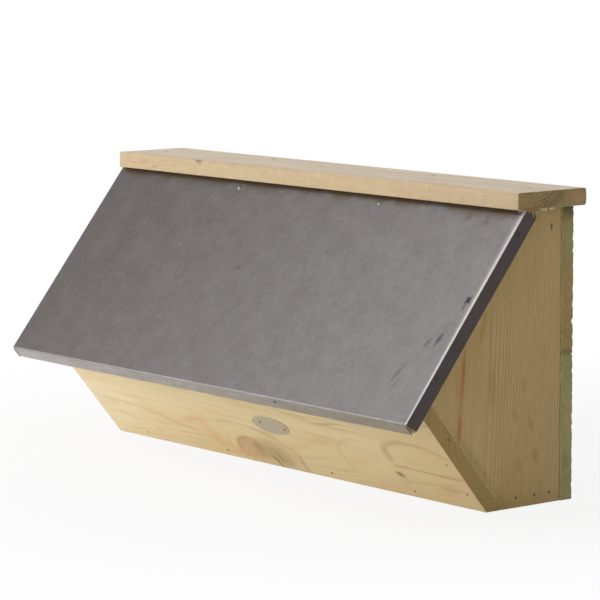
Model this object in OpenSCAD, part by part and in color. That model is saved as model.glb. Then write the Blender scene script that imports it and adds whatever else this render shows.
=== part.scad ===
// Swift nest box: three nesting chambers side by side behind a steep, sheet-covered roof,
// with a narrow lid board on top and the way in through slots in the floor.
// X runs along the box, +Y points into the wall and +Z points up. The origin is in the wall
// plane, on the centre line, level with the underside of the floor.

/* [Box] */
// Width over the side panels
box_w = 700; // [560:1:900]
// Height of the back, up to the underside of the lid
box_h = 337; // [310:1:400]
// Depth of the underside, from the wall to the front board's lower edge
base_d = 129; // [120:1:150]
// Thickness of the boards
board_t = 18; // [15:0.5:20]
// Height of the lower back board
back_split_h = 166.5; // [150:0.5:185]
// How far the back boards stand out past each side panel
back_over = 1.5; // [0:0.5:3]

/* [Front board] */
// Outward lean of the front board from the vertical, in degrees
front_lean = 39.3; // [36:0.1:42]

/* [Roof] */
// Slope of the roof from the horizontal, in degrees
roof_pitch = 51.6; // [49:0.1:54]
// Distance from the wall to the top of the roof, at the lid's underside
roof_set = 99; // [90:1:110]
// Distance from the front board's face to the eave's face, square to the front board
eave_out = 36.5; // [28:0.5:42]
// Overhang of the roof past each side panel
roof_over = 30; // [15:1:45]
// Width of the lower roof board, measured up the slope from the eave
roof_split = 168; // [130:1:200]

/* [Roof sheet] */
// Thickness of the metal
sheet_t = 0.8; // [0.5:0.1:1.5]
// Depth of the folded side edges
side_fold = 17.3; // [12:0.1:18]
// Depth of the folded front edge
front_fold = 15.6; // [10:0.1:17]
// How much shorter each side fold is at its free edge than at its crease
fold_relief = 3; // [0:0.5:6]
// Open gap between each end of the front fold and the side fold beside it
corner_gap = 0.6; // [0.3:0.1:2]

/* [Lid] */
// Thickness of the lid board
lid_t = 19.5; // [15:0.5:25]
// Overhang of the lid past each side panel
lid_over = 26; // [10:1:28]
// Overhang of the lid's front edge past the top of the roof
lid_nose = 8.5; // [4:0.5:15]
// Gap between the wall and the lid's back edge
lid_back = 4.5; // [0:0.5:6]

/* [Hanging rail] */
// Depth of the rail, out from the back boards
rail_d = 30; // [25:1:35]
// Height of the rail
rail_h = 48; // [38:1:55]
// Diameter of the two wall screw holes
wall_hole_d = 6.5; // [4:0.5:9]
// Distance of each wall screw hole in from the outside of its side panel
wall_hole_in = 100; // [70:1:130]

/* [Entrances] */
// Width of each entrance slot, along the box
slot_w = 65; // [50:1:90]
// Depth of each entrance slot, from back to front
slot_d = 30; // [25:1:34]
// Corner radius of the entrance slots
slot_r = 5; // [2:0.5:10]
// Distance from a chamber's left wall to its slot
slot_in = 36; // [34:1:50]

/* [Name plate] */
// Length of the blank oval plate
plate_w = 68; // [50:1:90]
// Height of the oval plate
plate_h = 29; // [20:1:40]
// Thickness of the oval plate
plate_t = 1; // [0.5:0.1:2]
// Plate centre, to the right of the centre line
plate_x = 27; // [-60:1:60]
// Plate centre, up the front board from its lower edge
plate_up = 80; // [50:0.5:95]
// Clockwise turn of the plate, in degrees
plate_turn = -1.5; // [-15:0.5:15]

/* [Nails and screws] */
// Length of the wire nails
nail_l = 45; // [35:1:50]
// Shank diameter of the wire nails
nail_d = 2; // [1.5:0.1:3]
// Head diameter of the wire nails
nail_head_d = 3.6; // [3.2:0.1:5]
// Depth of the nail heads below the wood's surface
nail_sink = 0.5; // [0.2:0.1:1]
// Length of the sheet screws
screw_l = 16; // [10:1:17]
// Shank diameter of the sheet screws
screw_d = 2.8; // [2:0.1:3.5]
// Head diameter of the sheet screws
screw_head_d = 5.6; // [4:0.1:7]
// Length of the lid screws
lid_screw_l = 50; // [40:1:60]
// Shank diameter of the lid screws
lid_screw_d = 4; // [3:0.1:5]
// Head diameter of the lid screws
lid_screw_head_d = 8; // [6:0.1:10]
// Clearance between a nail or screw and its hole
fix_gap = 0.1; // [0.05:0.05:0.3]

/* [Hidden] */
$fn = 48;

// Widths and places along the box.
inner_w = box_w - 2 * board_t;
chamber_w = (inner_w - 2 * board_t) / 3;
partition_x = (chamber_w + board_t) / 2;
panel_x = (box_w - board_t) / 2;
roof_w = box_w + 2 * roof_over;
roof_board_w = roof_w - 2 * sheet_t;
front_fold_l = roof_board_w - 2 * corner_gap;

// Depths below the roof's top face.
roof_under = sheet_t + board_t;

// Lines in the side view, which is drawn as [y, z]. "in" is measured inwards, square to the
// front board's outer face or to the roof's top face.
function front_y(in, z) = -base_d + in / cos(front_lean) - z * tan(front_lean);
function roof_y(in, z) = -roof_set + in / sin(roof_pitch) - (box_h - z) / tan(roof_pitch);
function corner_z(roof_in, front_in) =
    (front_y(front_in, 0) - roof_y(roof_in, 0)) / (tan(front_lean) + 1 / tan(roof_pitch));
function corner(roof_in, front_in) =
    [front_y(front_in, corner_z(roof_in, front_in)), corner_z(roof_in, front_in)];
function up_slope(s, in) =
    crease + s * [cos(roof_pitch), sin(roof_pitch)] + in * [sin(roof_pitch), -cos(roof_pitch)];

// The sheet's crease at the eave, and its length from there up to the lid.
crease = corner(0, -eave_out);
sheet_l = (box_h - crease[1]) / sin(roof_pitch);

// Directions on the front board and on the front fold, which is parallel to it.
down_front = [sin(front_lean), -cos(front_lean)];
front_out = [-cos(front_lean), -sin(front_lean)];

// Heads of the nails and screws, and how the front floor nails are driven: level, so their
// heads go deeper into the leaning face.
nail_head_h = 1;
screw_head_h = 1.8;
plate_nail_l = 12;
plate_nail_d = 1.4;
plate_nail_head_d = 3;
plate_nail_head_h = 0.6;
// From the middle of the plate, in shares of its length and height: they were put in by eye.
plate_nail_at = [[-0.25, 0.115], [0.38, -0.1]];
level_sink = nail_sink + nail_head_d / 2 * tan(front_lean);

// Places of the nails and screws. They are set by hand, so they aren't evenly spaced.
front_nail_in_left = 69;
front_nail_in_right = 113;
front_nail_mid = [-113, 87];
front_floor_nail_x =
    concat(front_nail_in_left - box_w / 2, front_nail_mid, box_w / 2 - front_nail_in_right);
front_floor_nail_z = 8;
corner_nail_up_left = [34, 68];
corner_nail_up_right = [26, 74];
corner_nail_x = box_w / 2 - 0.76 * board_t;
side_floor_nail_y = [-34, -57, -85];
side_floor_nail_z = 11.5;
back_nail_edge = 34;
back_nail_x = [-panel_x, -partition_x, partition_x, panel_x];
back_nail_z = [
    back_nail_edge,
    back_split_h - back_nail_edge,
    back_split_h + back_nail_edge,
    box_h - rail_h - back_nail_edge / 2
];
back_floor_nail_x = [for (i = [-1 : 1]) i * (chamber_w + board_t) + chamber_w / 4];
back_floor_nail_z = board_t / 2;
roof_screw_x = [-125, 139];
roof_screw_down = 13;
fold_screw_up = 64;
fold_screw_down = 28;
fold_screw_in = 6;
front_fold_nail_x = 150;
front_fold_nail_in = 4.6;
lid_screw_in = 58;
lid_screw_rail_x = 150;
slot_y = (front_y(board_t, 0) - board_t) / 2;

// A board of length l, centred on the middle line, with one side view along its length.
module bar(l, side_view) {
    translate([-l / 2, 0, 0]) rotate([90, 0, 90]) linear_extrude(l) polygon(side_view);
}

// A board that is rectangular from the side: back to front from y1 to y2, and z1 to z2 high.
module plank(l, y1, y2, z1, z2) {
    bar(l, [[y1, z1], [y2, z1], [y2, z2], [y1, z2]]);
}

// Puts its children on the front board's face: x along it, y up it and z out of it.
module on_front(x, s) {
    translate([x, front_y(0, 0) - s * sin(front_lean), s * cos(front_lean)])
        rotate([90 + front_lean, 0, 0]) children();
}

// Puts its children on the roof's top face: x along it, y up the slope and z out of it.
module on_roof(x, s) {
    translate([x, up_slope(s, 0)[0], up_slope(s, 0)[1]]) rotate([roof_pitch, 0, 0]) children();
}

// Wire nail driven down -Z from a surface at z = 0. With a gap it is the nail's hole.
module nail(gap = 0, sink = nail_sink) {
    mouth = gap > 0 ? sink + nail_head_d : 0;
    translate([0, 0, -sink - nail_l - gap]) cylinder(d = nail_d + 2 * gap, h = nail_l);
    translate([0, 0, -sink - nail_head_h - gap])
        cylinder(d = nail_head_d + 2 * gap, h = nail_head_h + gap + mouth);
}

// Pan-head screw whose head stands on a surface at z = 0. With a gap it is the screw's hole.
module sheet_screw(gap = 0) {
    translate([0, 0, -screw_l - gap])
        cylinder(d = screw_d + 2 * gap, h = screw_l + gap + screw_head_h / 2);
    if (gap == 0) cylinder(d1 = screw_head_d, d2 = 0.6 * screw_head_d, h = screw_head_h);
}

// Countersunk screw, its head level with a surface at z = 0. With a gap it is the hole.
module lid_screw(gap = 0) {
    head_h = (lid_screw_head_d - lid_screw_d) / 2;
    translate([0, 0, -lid_screw_l - gap])
        cylinder(d = lid_screw_d + 2 * gap, h = lid_screw_l - head_h / 2);
    translate([0, 0, -head_h])
        cylinder(d1 = lid_screw_d + 2 * gap, d2 = lid_screw_head_d + 2 * gap, h = head_h);
    if (gap > 0) cylinder(d = lid_screw_head_d + 2 * gap, h = 1);
}

// Small round-headed nail that holds the name plate, its head on a surface at z = 0.
module plate_nail(gap = 0) {
    translate([0, 0, -plate_nail_l - gap])
        cylinder(d = plate_nail_d + 2 * gap, h = plate_nail_l + gap + plate_nail_head_h / 2);
    if (gap == 0) cylinder(d = plate_nail_head_d, h = plate_nail_head_h);
}

// Wall screw holes, through the upper back board and the rail.
module wall_holes() {
    for (side = [-1, 1])
        translate([side * (box_w / 2 - wall_hole_in), 1, box_h - rail_h / 2])
            rotate([90, 0, 0]) cylinder(d = wall_hole_d, h = board_t + rail_d + 2);
}

// Back boards, one above the other.
module back_board_lower() {
    color("#8f9a72") difference() {
        plank(box_w + 2 * back_over, -board_t, 0, 0, back_split_h);
        back_nails(fix_gap);
    }
}

module back_board_upper() {
    color("#9a9368") difference() {
        plank(box_w + 2 * back_over, -board_t, 0, back_split_h, box_h);
        back_nails(fix_gap);
        wall_holes();
    }
}

module back_nails(gap = 0) {
    color("#77736b") {
        for (x = back_nail_x, z = back_nail_z)
            translate([x, 0, z]) rotate([-90, 0, 0]) nail(gap);
        for (x = back_floor_nail_x)
            translate([x, 0, back_floor_nail_z]) rotate([-90, 0, 0]) nail(gap);
    }
}

// Side panels. The front board covers their leaning edges and the roof their sloping ones.
module side_panel(side) {
    color("#b39b68") difference() {
        translate([side * panel_x, 0, 0]) bar(board_t, [
            [-board_t, 0],
            [-board_t, box_h],
            [roof_y(roof_under, box_h), box_h],
            corner(roof_under, board_t),
            [front_y(board_t, 0), 0]
        ]);
        side_nails(side, fix_gap);
        front_corner_nails(side, fix_gap);
        back_nails(fix_gap);
        lid_screws(fix_gap);
    }
}

module side_nails(side, gap = 0) {
    color("#5d5548") {
        for (y = side_floor_nail_y)
            translate([side * box_w / 2, y, side_floor_nail_z]) rotate([0, side * 90, 0])
                nail(gap);
        translate([side * box_w / 2, -board_t - rail_d / 2, box_h - rail_h / 2])
            rotate([0, side * 90, 0]) nail(gap);
    }
}

// Partitions between the chambers, notched over the hanging rail and standing on the floor.
module partition(side) {
    color("#c2a870") difference() {
        translate([side * partition_x, 0, 0]) bar(board_t, [
            [-board_t, board_t],
            [-board_t, box_h - rail_h],
            [-board_t - rail_d, box_h - rail_h],
            [-board_t - rail_d, box_h],
            [roof_y(roof_under, box_h), box_h],
            corner(roof_under, board_t),
            [front_y(board_t, board_t), board_t]
        ]);
        back_nails(fix_gap);
    }
}

// Floor between the side panels, with one entrance slot near the left wall of each chamber.
module floor_board() {
    color("#c9b07c") difference() {
        bar(inner_w, [
            [-board_t, 0],
            [-board_t, board_t],
            [front_y(board_t, board_t), board_t],
            [front_y(board_t, 0), 0]
        ]);
        for (i = [0 : 2])
            translate([slot_in + (slot_w - inner_w) / 2 + i * (chamber_w + board_t), slot_y, -1])
                slot(board_t + 2);
        front_floor_nails(fix_gap);
        back_nails(fix_gap);
        for (side = [-1, 1]) side_nails(side, fix_gap);
    }
}

// Rectangular slot with round corners, cut h high.
module slot(h) {
    translate([-slot_w / 2 + slot_r, -slot_d / 2, 0]) cube([slot_w - 2 * slot_r, slot_d, h]);
    translate([-slot_w / 2, -slot_d / 2 + slot_r, 0]) cube([slot_w, slot_d - 2 * slot_r, h]);
    for (x = [-1, 1], y = [-1, 1])
        translate([x * (slot_w / 2 - slot_r), y * (slot_d / 2 - slot_r), 0])
            cylinder(r = slot_r, h = h);
}

// Leaning front board, its lower edge cut level and its upper edge cut to the roof's slope.
module front_board() {
    color("#dcc798") difference() {
        bar(box_w, [
            [front_y(0, 0), 0],
            corner(roof_under, 0),
            corner(roof_under, board_t),
            [front_y(board_t, 0), 0]
        ]);
        front_floor_nails(fix_gap);
        for (side = [-1, 1]) front_corner_nails(side, fix_gap);
        plate_nails(fix_gap);
    }
}

module front_floor_nails(gap = 0) {
    color("#5d5548") for (x = front_floor_nail_x)
        translate([x, front_y(0, front_floor_nail_z), front_floor_nail_z]) rotate([90, 0, 0])
            nail(gap, level_sink);
}

module front_corner_nails(side, gap = 0) {
    color("#77736b") for (s = side < 0 ? corner_nail_up_left : corner_nail_up_right)
        on_front(side * corner_nail_x, s) nail(gap);
}

// Roof boards under the sheet.
module roof_board_lower() {
    color("#c4ab76") difference() {
        bar(roof_board_w, [
            corner(sheet_t, sheet_t - eave_out),
            up_slope(roof_split, sheet_t),
            up_slope(roof_split, roof_under),
            corner(roof_under, sheet_t - eave_out)
        ]);
        for (side = [-1, 1]) fold_screws(side, fix_gap);
        front_fold_nail(fix_gap);
    }
}

module roof_board_upper() {
    color("#c4ab76") difference() {
        bar(roof_board_w, [
            up_slope(roof_split, sheet_t),
            [roof_y(sheet_t, box_h), box_h],
            [roof_y(roof_under, box_h), box_h],
            up_slope(roof_split, roof_under)
        ]);
        for (side = [-1, 1]) fold_screws(side, fix_gap);
        roof_screws(fix_gap);
    }
}

// Sheet over the roof boards, folded down at both sides and over the eave.
module roof_sheet() {
    color("#85807d") difference() {
        bar(roof_w, [
            crease,
            up_slope(sheet_l, 0),
            up_slope(sheet_l, side_fold),
            corner(side_fold, -eave_out)
        ]);
        under_the_sheet();
        front_fold_trim();
        for (side = [-1, 1]) {
            corner_cut(side);
            fold_screws(side, fix_gap);
        }
        roof_screws(fix_gap);
        front_fold_nail(fix_gap);
    }
}

// The space inside the folds. The sheet is open at the top, under the lid.
module under_the_sheet() {
    bar(roof_board_w, [
        corner(sheet_t, sheet_t - eave_out),
        up_slope(sheet_l + 5, sheet_t),
        up_slope(sheet_l + 5, side_fold + 5),
        corner(side_fold + 5, sheet_t - eave_out)
    ]);
}

// What the front fold is shorter than the side folds are deep.
module front_fold_trim() {
    edge = crease + front_fold * down_front;
    bar(roof_board_w, [
        edge + front_out,
        edge - 2 * sheet_t * front_out,
        edge - 2 * sheet_t * front_out + side_fold * down_front,
        edge + front_out + side_fold * down_front
    ]);
}

// Open corner beside the front fold. The side fold is cut back more at its free edge.
module corner_cut(side) {
    cut_w = (roof_w - front_fold_l) / 2 + 1;
    translate([side * (front_fold_l + cut_w) / 2, 0, 0]) bar(cut_w, [
        corner(sheet_t, sheet_t - eave_out),
        up_slope(fold_relief, side_fold),
        up_slope(fold_relief, side_fold + 1),
        corner(side_fold + 1, -eave_out - 1),
        corner(sheet_t, -eave_out - 1)
    ]);
}

module roof_screws(gap = 0) {
    color("#cfccc6") for (x = roof_screw_x)
        on_roof(x, sheet_l - roof_screw_down) sheet_screw(gap);
}

module fold_screws(side, gap = 0) {
    color("#8d8a86") for (s = [fold_screw_up, sheet_l - fold_screw_down])
        on_roof(side * roof_w / 2, s) translate([0, 0, -fold_screw_in])
            rotate([0, side * 90, 0]) sheet_screw(gap);
}

// One small nail through the front fold into the lower roof board.
module front_fold_nail(gap = 0) {
    place = crease + front_fold_nail_in * down_front;
    color("#5d5548") translate([front_fold_nail_x, place[0], place[1]])
        rotate([90 + front_lean, 0, 0]) plate_nail(gap);
}

// Narrow lid board across the top.
module lid_board() {
    color("#d6c19a") difference() {
        translate([0, 0, box_h]) plank(box_w + 2 * lid_over, -roof_set - lid_nose, -lid_back, 0,
            lid_t);
        lid_screws(fix_gap);
    }
}

module lid_screws(gap = 0) {
    color("#a8a49a") for (side = [-1, 1]) {
        translate([side * panel_x, -lid_screw_in, box_h + lid_t]) lid_screw(gap);
        translate([side * lid_screw_rail_x, -board_t - rail_d / 2, box_h + lid_t]) lid_screw(gap);
    }
}

// Rail under the lid, which the wall screws pass through.
module hanging_rail() {
    color("#c4ab76") difference() {
        plank(inner_w, -board_t - rail_d, -board_t, box_h - rail_h, box_h);
        wall_holes();
        lid_screws(fix_gap);
        for (side = [-1, 1]) side_nails(side, fix_gap);
    }
}

// Blank oval plate on the front board.
module on_plate() {
    on_front(plate_x, plate_up) rotate([0, 0, -plate_turn]) children();
}

module name_plate() {
    color("#b3a795") difference() {
        on_plate() linear_extrude(plate_t)
            polygon([for (a = [0 : 5 : 355]) [plate_w / 2 * cos(a), plate_h / 2 * sin(a)]]);
        plate_nails(fix_gap);
    }
}

module plate_nails(gap = 0) {
    color("#8d8a86") for (at = plate_nail_at)
        on_plate() translate([at[0] * plate_w, at[1] * plate_h, plate_t]) plate_nail(gap);
}

back_board_lower();
back_board_upper();
side_panel(-1);  // side_panel_left
side_panel(1);  // side_panel_right
partition(-1);  // partition_left
partition(1);  // partition_right
floor_board();
front_board();
roof_board_lower();
roof_board_upper();
roof_sheet();
lid_board();
hanging_rail();
name_plate();
plate_nails();
roof_screws();
fold_screws(-1);  // fold_screws_left
fold_screws(1);  // fold_screws_right
front_fold_nail();
front_floor_nails();
front_corner_nails(-1);  // front_corner_nails_left
front_corner_nails(1);  // front_corner_nails_right
side_nails(-1);  // side_nails_left
side_nails(1);  // side_nails_right
back_nails();
lid_screws();
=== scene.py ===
"""Swift nest box: pine boards, a folded zinc-coated roof sheet, a blank oval plate, nails and
screws. Everything is in metres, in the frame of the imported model: X runs along the box, +Y
goes into the wall and +Z is up."""

import math
import random

import bmesh
import bpy
from mathutils import Euler, Matrix, Vector, geometry, noise


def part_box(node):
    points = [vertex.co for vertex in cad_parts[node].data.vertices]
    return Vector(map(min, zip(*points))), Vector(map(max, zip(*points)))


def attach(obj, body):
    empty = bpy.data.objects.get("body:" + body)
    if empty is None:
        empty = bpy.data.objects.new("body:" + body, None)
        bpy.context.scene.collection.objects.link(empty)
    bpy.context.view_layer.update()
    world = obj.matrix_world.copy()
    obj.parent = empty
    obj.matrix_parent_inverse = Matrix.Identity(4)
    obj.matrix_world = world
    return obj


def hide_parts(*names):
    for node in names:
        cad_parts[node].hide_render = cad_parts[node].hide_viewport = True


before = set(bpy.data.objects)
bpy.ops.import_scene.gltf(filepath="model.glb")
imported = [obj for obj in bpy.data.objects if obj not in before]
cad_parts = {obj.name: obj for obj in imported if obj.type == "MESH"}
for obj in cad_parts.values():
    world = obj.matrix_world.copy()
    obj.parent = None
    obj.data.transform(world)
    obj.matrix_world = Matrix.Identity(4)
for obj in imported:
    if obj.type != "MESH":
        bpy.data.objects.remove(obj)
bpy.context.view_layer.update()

MM = 0.001

# Angles of the box and the ways that its faces look.
LEAN = math.radians(39.3)  # the front board, out from upright
PITCH = math.radians(51.6)  # the roof, up from level
ALONG, INTO_WALL, UP = Vector((1, 0, 0)), Vector((0, 1, 0)), Vector((0, 0, 1))
FRONT_UP = Vector((0, -math.sin(LEAN), math.cos(LEAN)))
FRONT_OUT = Vector((0, -math.cos(LEAN), -math.sin(LEAN)))
ROOF_UP = Vector((0, math.cos(PITCH), math.sin(PITCH)))
ROOF_OUT = Vector((0, -math.sin(PITCH), math.cos(PITCH)))

# Sizes that the solids' boxes don't give.
SHEET_T = 0.8 * MM
SIDE_FOLD = 17.3 * MM
FRONT_FOLD = 15.6 * MM
CORNER_GAP = 0.6 * MM
PLATE_SIZE = (68 * MM, 29 * MM)
PLATE_T = 1 * MM
PLATE_TURN = math.radians(-1.5)

# Places on the box that the marks and pieces are measured from.
lid_low, lid_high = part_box("lid_board")
front_low, front_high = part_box("front_board")
sheet_low, sheet_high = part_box("roof_sheet")
# The front board's lower outside edge: its foot is on z = 0, and it leans out from there.
front_foot = Vector((0, front_high.y - 18 * MM / math.cos(LEAN), 0))
roof_top_y = lid_low.y + 8.5 * MM
crease_y = sheet_low.y
crease = Vector((0, crease_y, lid_low.z - (roof_top_y - crease_y) * math.tan(PITCH)))
sheet_l = (lid_low.z - crease.z) / math.sin(PITCH)


# ---------------------------------------------------------------- camera and lamps

def make_camera():
    """Camera right of the front and a little above it, with a long lens."""
    around, above, roll = math.radians(51.319), math.radians(7.328), math.radians(-0.187)
    looks = Vector((-math.sin(around) * math.cos(above), math.cos(around) * math.cos(above),
                    -math.sin(above)))
    data = bpy.data.cameras.new("camera")
    data.sensor_width = 36
    data.lens = 183.795
    data.clip_end = 200
    camera = bpy.data.objects.new("camera", data)
    camera.location = (2.8278, -2.3767, 0.66805)
    camera.rotation_mode = "QUATERNION"
    level = looks.to_track_quat("-Z", "Y")
    camera.rotation_quaternion = level @ Euler((0, 0, roll)).to_quaternion()
    bpy.context.scene.collection.objects.link(camera)
    bpy.context.scene.camera = camera


def lamp(name, at, towards, size, watts, colour="#FFFFFF"):
    """Square soft lamp."""
    data = bpy.data.lights.new(name, "AREA")
    data.shape = "SQUARE"
    data.size = size
    data.energy = watts
    data.color = linear(colour)[:3]
    made = bpy.data.objects.new(name, data)
    made.location = at
    made.rotation_mode = "QUATERNION"
    made.rotation_quaternion = (Vector(towards) - Vector(at)).to_track_quat("-Z", "Y")
    bpy.context.scene.collection.objects.link(made)


# ---------------------------------------------------------------- small helpers

def linear(hex_colour):
    """sRGB hex to a linear colour."""
    parts = [int(hex_colour[i:i + 2], 16) / 255 for i in (1, 3, 5)]
    return [p / 12.92 if p <= 0.04045 else ((p + 0.055) / 1.055) ** 2.4 for p in parts] + [1]


def add(tree, kind, inputs, out=None, **settings):
    """Adds a node with its settings and links, and gives back the output asked for, or the
    first one. An input is a number, a colour, or the output that feeds it."""
    made = tree.nodes.new("ShaderNode" + kind)
    for name, value in settings.items():
        setattr(made, name, value)
    for key, value in inputs.items():
        if isinstance(key, str):
            socket = next(s for s in made.inputs if s.enabled and s.name == key)
        else:
            socket = made.inputs[key]
        if isinstance(value, bpy.types.NodeSocket):
            tree.links.new(value, socket)
        else:
            socket.default_value = value
    outs = [s for s in made.outputs if s.enabled]
    return next(s for s in outs if s.name == out) if out else (outs[0] if outs else None)


def new_material(name):
    material = bpy.data.materials.new(name)
    material.use_nodes = True
    material.node_tree.nodes.clear()
    return material, material.node_tree


def soft_spot(tree, place, at, size, turn=0.0, inner=0.35, outer=1.0):
    """1 in the middle of an oval patch of a board or sheet, falling to 0 at its edge. Two
    numbers place a patch on a face, and three a patch in the depth of the wood as well."""
    deep = (at[2], size[2]) if len(at) > 2 else (0.0, 1e3)
    local = add(tree, "Mapping", {"Vector": place, "Location": (at[0], at[1], deep[0]),
                                  "Rotation": (0, 0, turn),
                                  "Scale": (size[0], size[1], deep[1])},
                vector_type="TEXTURE")
    away = add(tree, "VectorMath", {0: local}, out="Value", operation="LENGTH")
    return add(tree, "MapRange", {"Value": away, "From Min": inner, "From Max": outer,
                                  "To Min": 1.0, "To Max": 0.0},
               interpolation_type="SMOOTHSTEP")


def stroke(tree, place, at, size, turn, width, towards):
    """Thin curved line of a board's figure: the edge of an oval, 1 along the middle of the
    line and 0 off it. towards is the side of the oval that shows, in the oval's own axes."""
    local = add(tree, "Mapping", {"Vector": place, "Location": (at[0], at[1], 0),
                                  "Rotation": (0, 0, turn), "Scale": (size[0], size[1], 1e3)},
                vector_type="TEXTURE")
    away = add(tree, "VectorMath", {0: local}, out="Value", operation="LENGTH")
    away = add(tree, "Math", {0: away, 1: 1.0}, operation="SUBTRACT")
    away = add(tree, "Math", {0: away}, operation="ABSOLUTE")
    line = add(tree, "MapRange", {"Value": away, "From Min": 0.0,
                                  "From Max": width / min(size), "To Min": 1.0,
                                  "To Max": 0.0}, interpolation_type="SMOOTHSTEP")
    shown = add(tree, "VectorMath", {0: local, 1: (*towards, 0)}, out="Value",
                operation="DOT_PRODUCT")
    shown = add(tree, "MapRange", {"Value": shown, "From Min": 0.05, "From Max": 0.5})
    return add(tree, "Math", {0: line, 1: shown}, operation="MULTIPLY")


def cloudy(tree, place, scales, detail=2.0, roughness=0.5, low=0.3, high=0.7, to=(0.0, 1.0)):
    """Noise drawn out by three scales, as a number between the two that are given."""
    scaled = add(tree, "VectorMath", {0: place, 1: scales}, operation="MULTIPLY")
    made = add(tree, "TexNoise", {"Vector": scaled, "Scale": 1.0, "Detail": detail,
                                  "Roughness": roughness})
    return add(tree, "MapRange", {"Value": made, "From Min": low, "From Max": high,
                                  "To Min": to[0], "To Max": to[1]})


def tint(tree, colour, tone, mask, weight=1.0):
    """The colour, changed towards a tone where the mask is 1."""
    if weight != 1.0:
        mask = add(tree, "Math", {0: mask, 1: weight}, operation="MULTIPLY", use_clamp=True)
    return add(tree, "Mix", {"Factor": mask, "A": colour, "B": linear(tone)},
               data_type="RGBA")


# ---------------------------------------------------------------- materials

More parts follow.
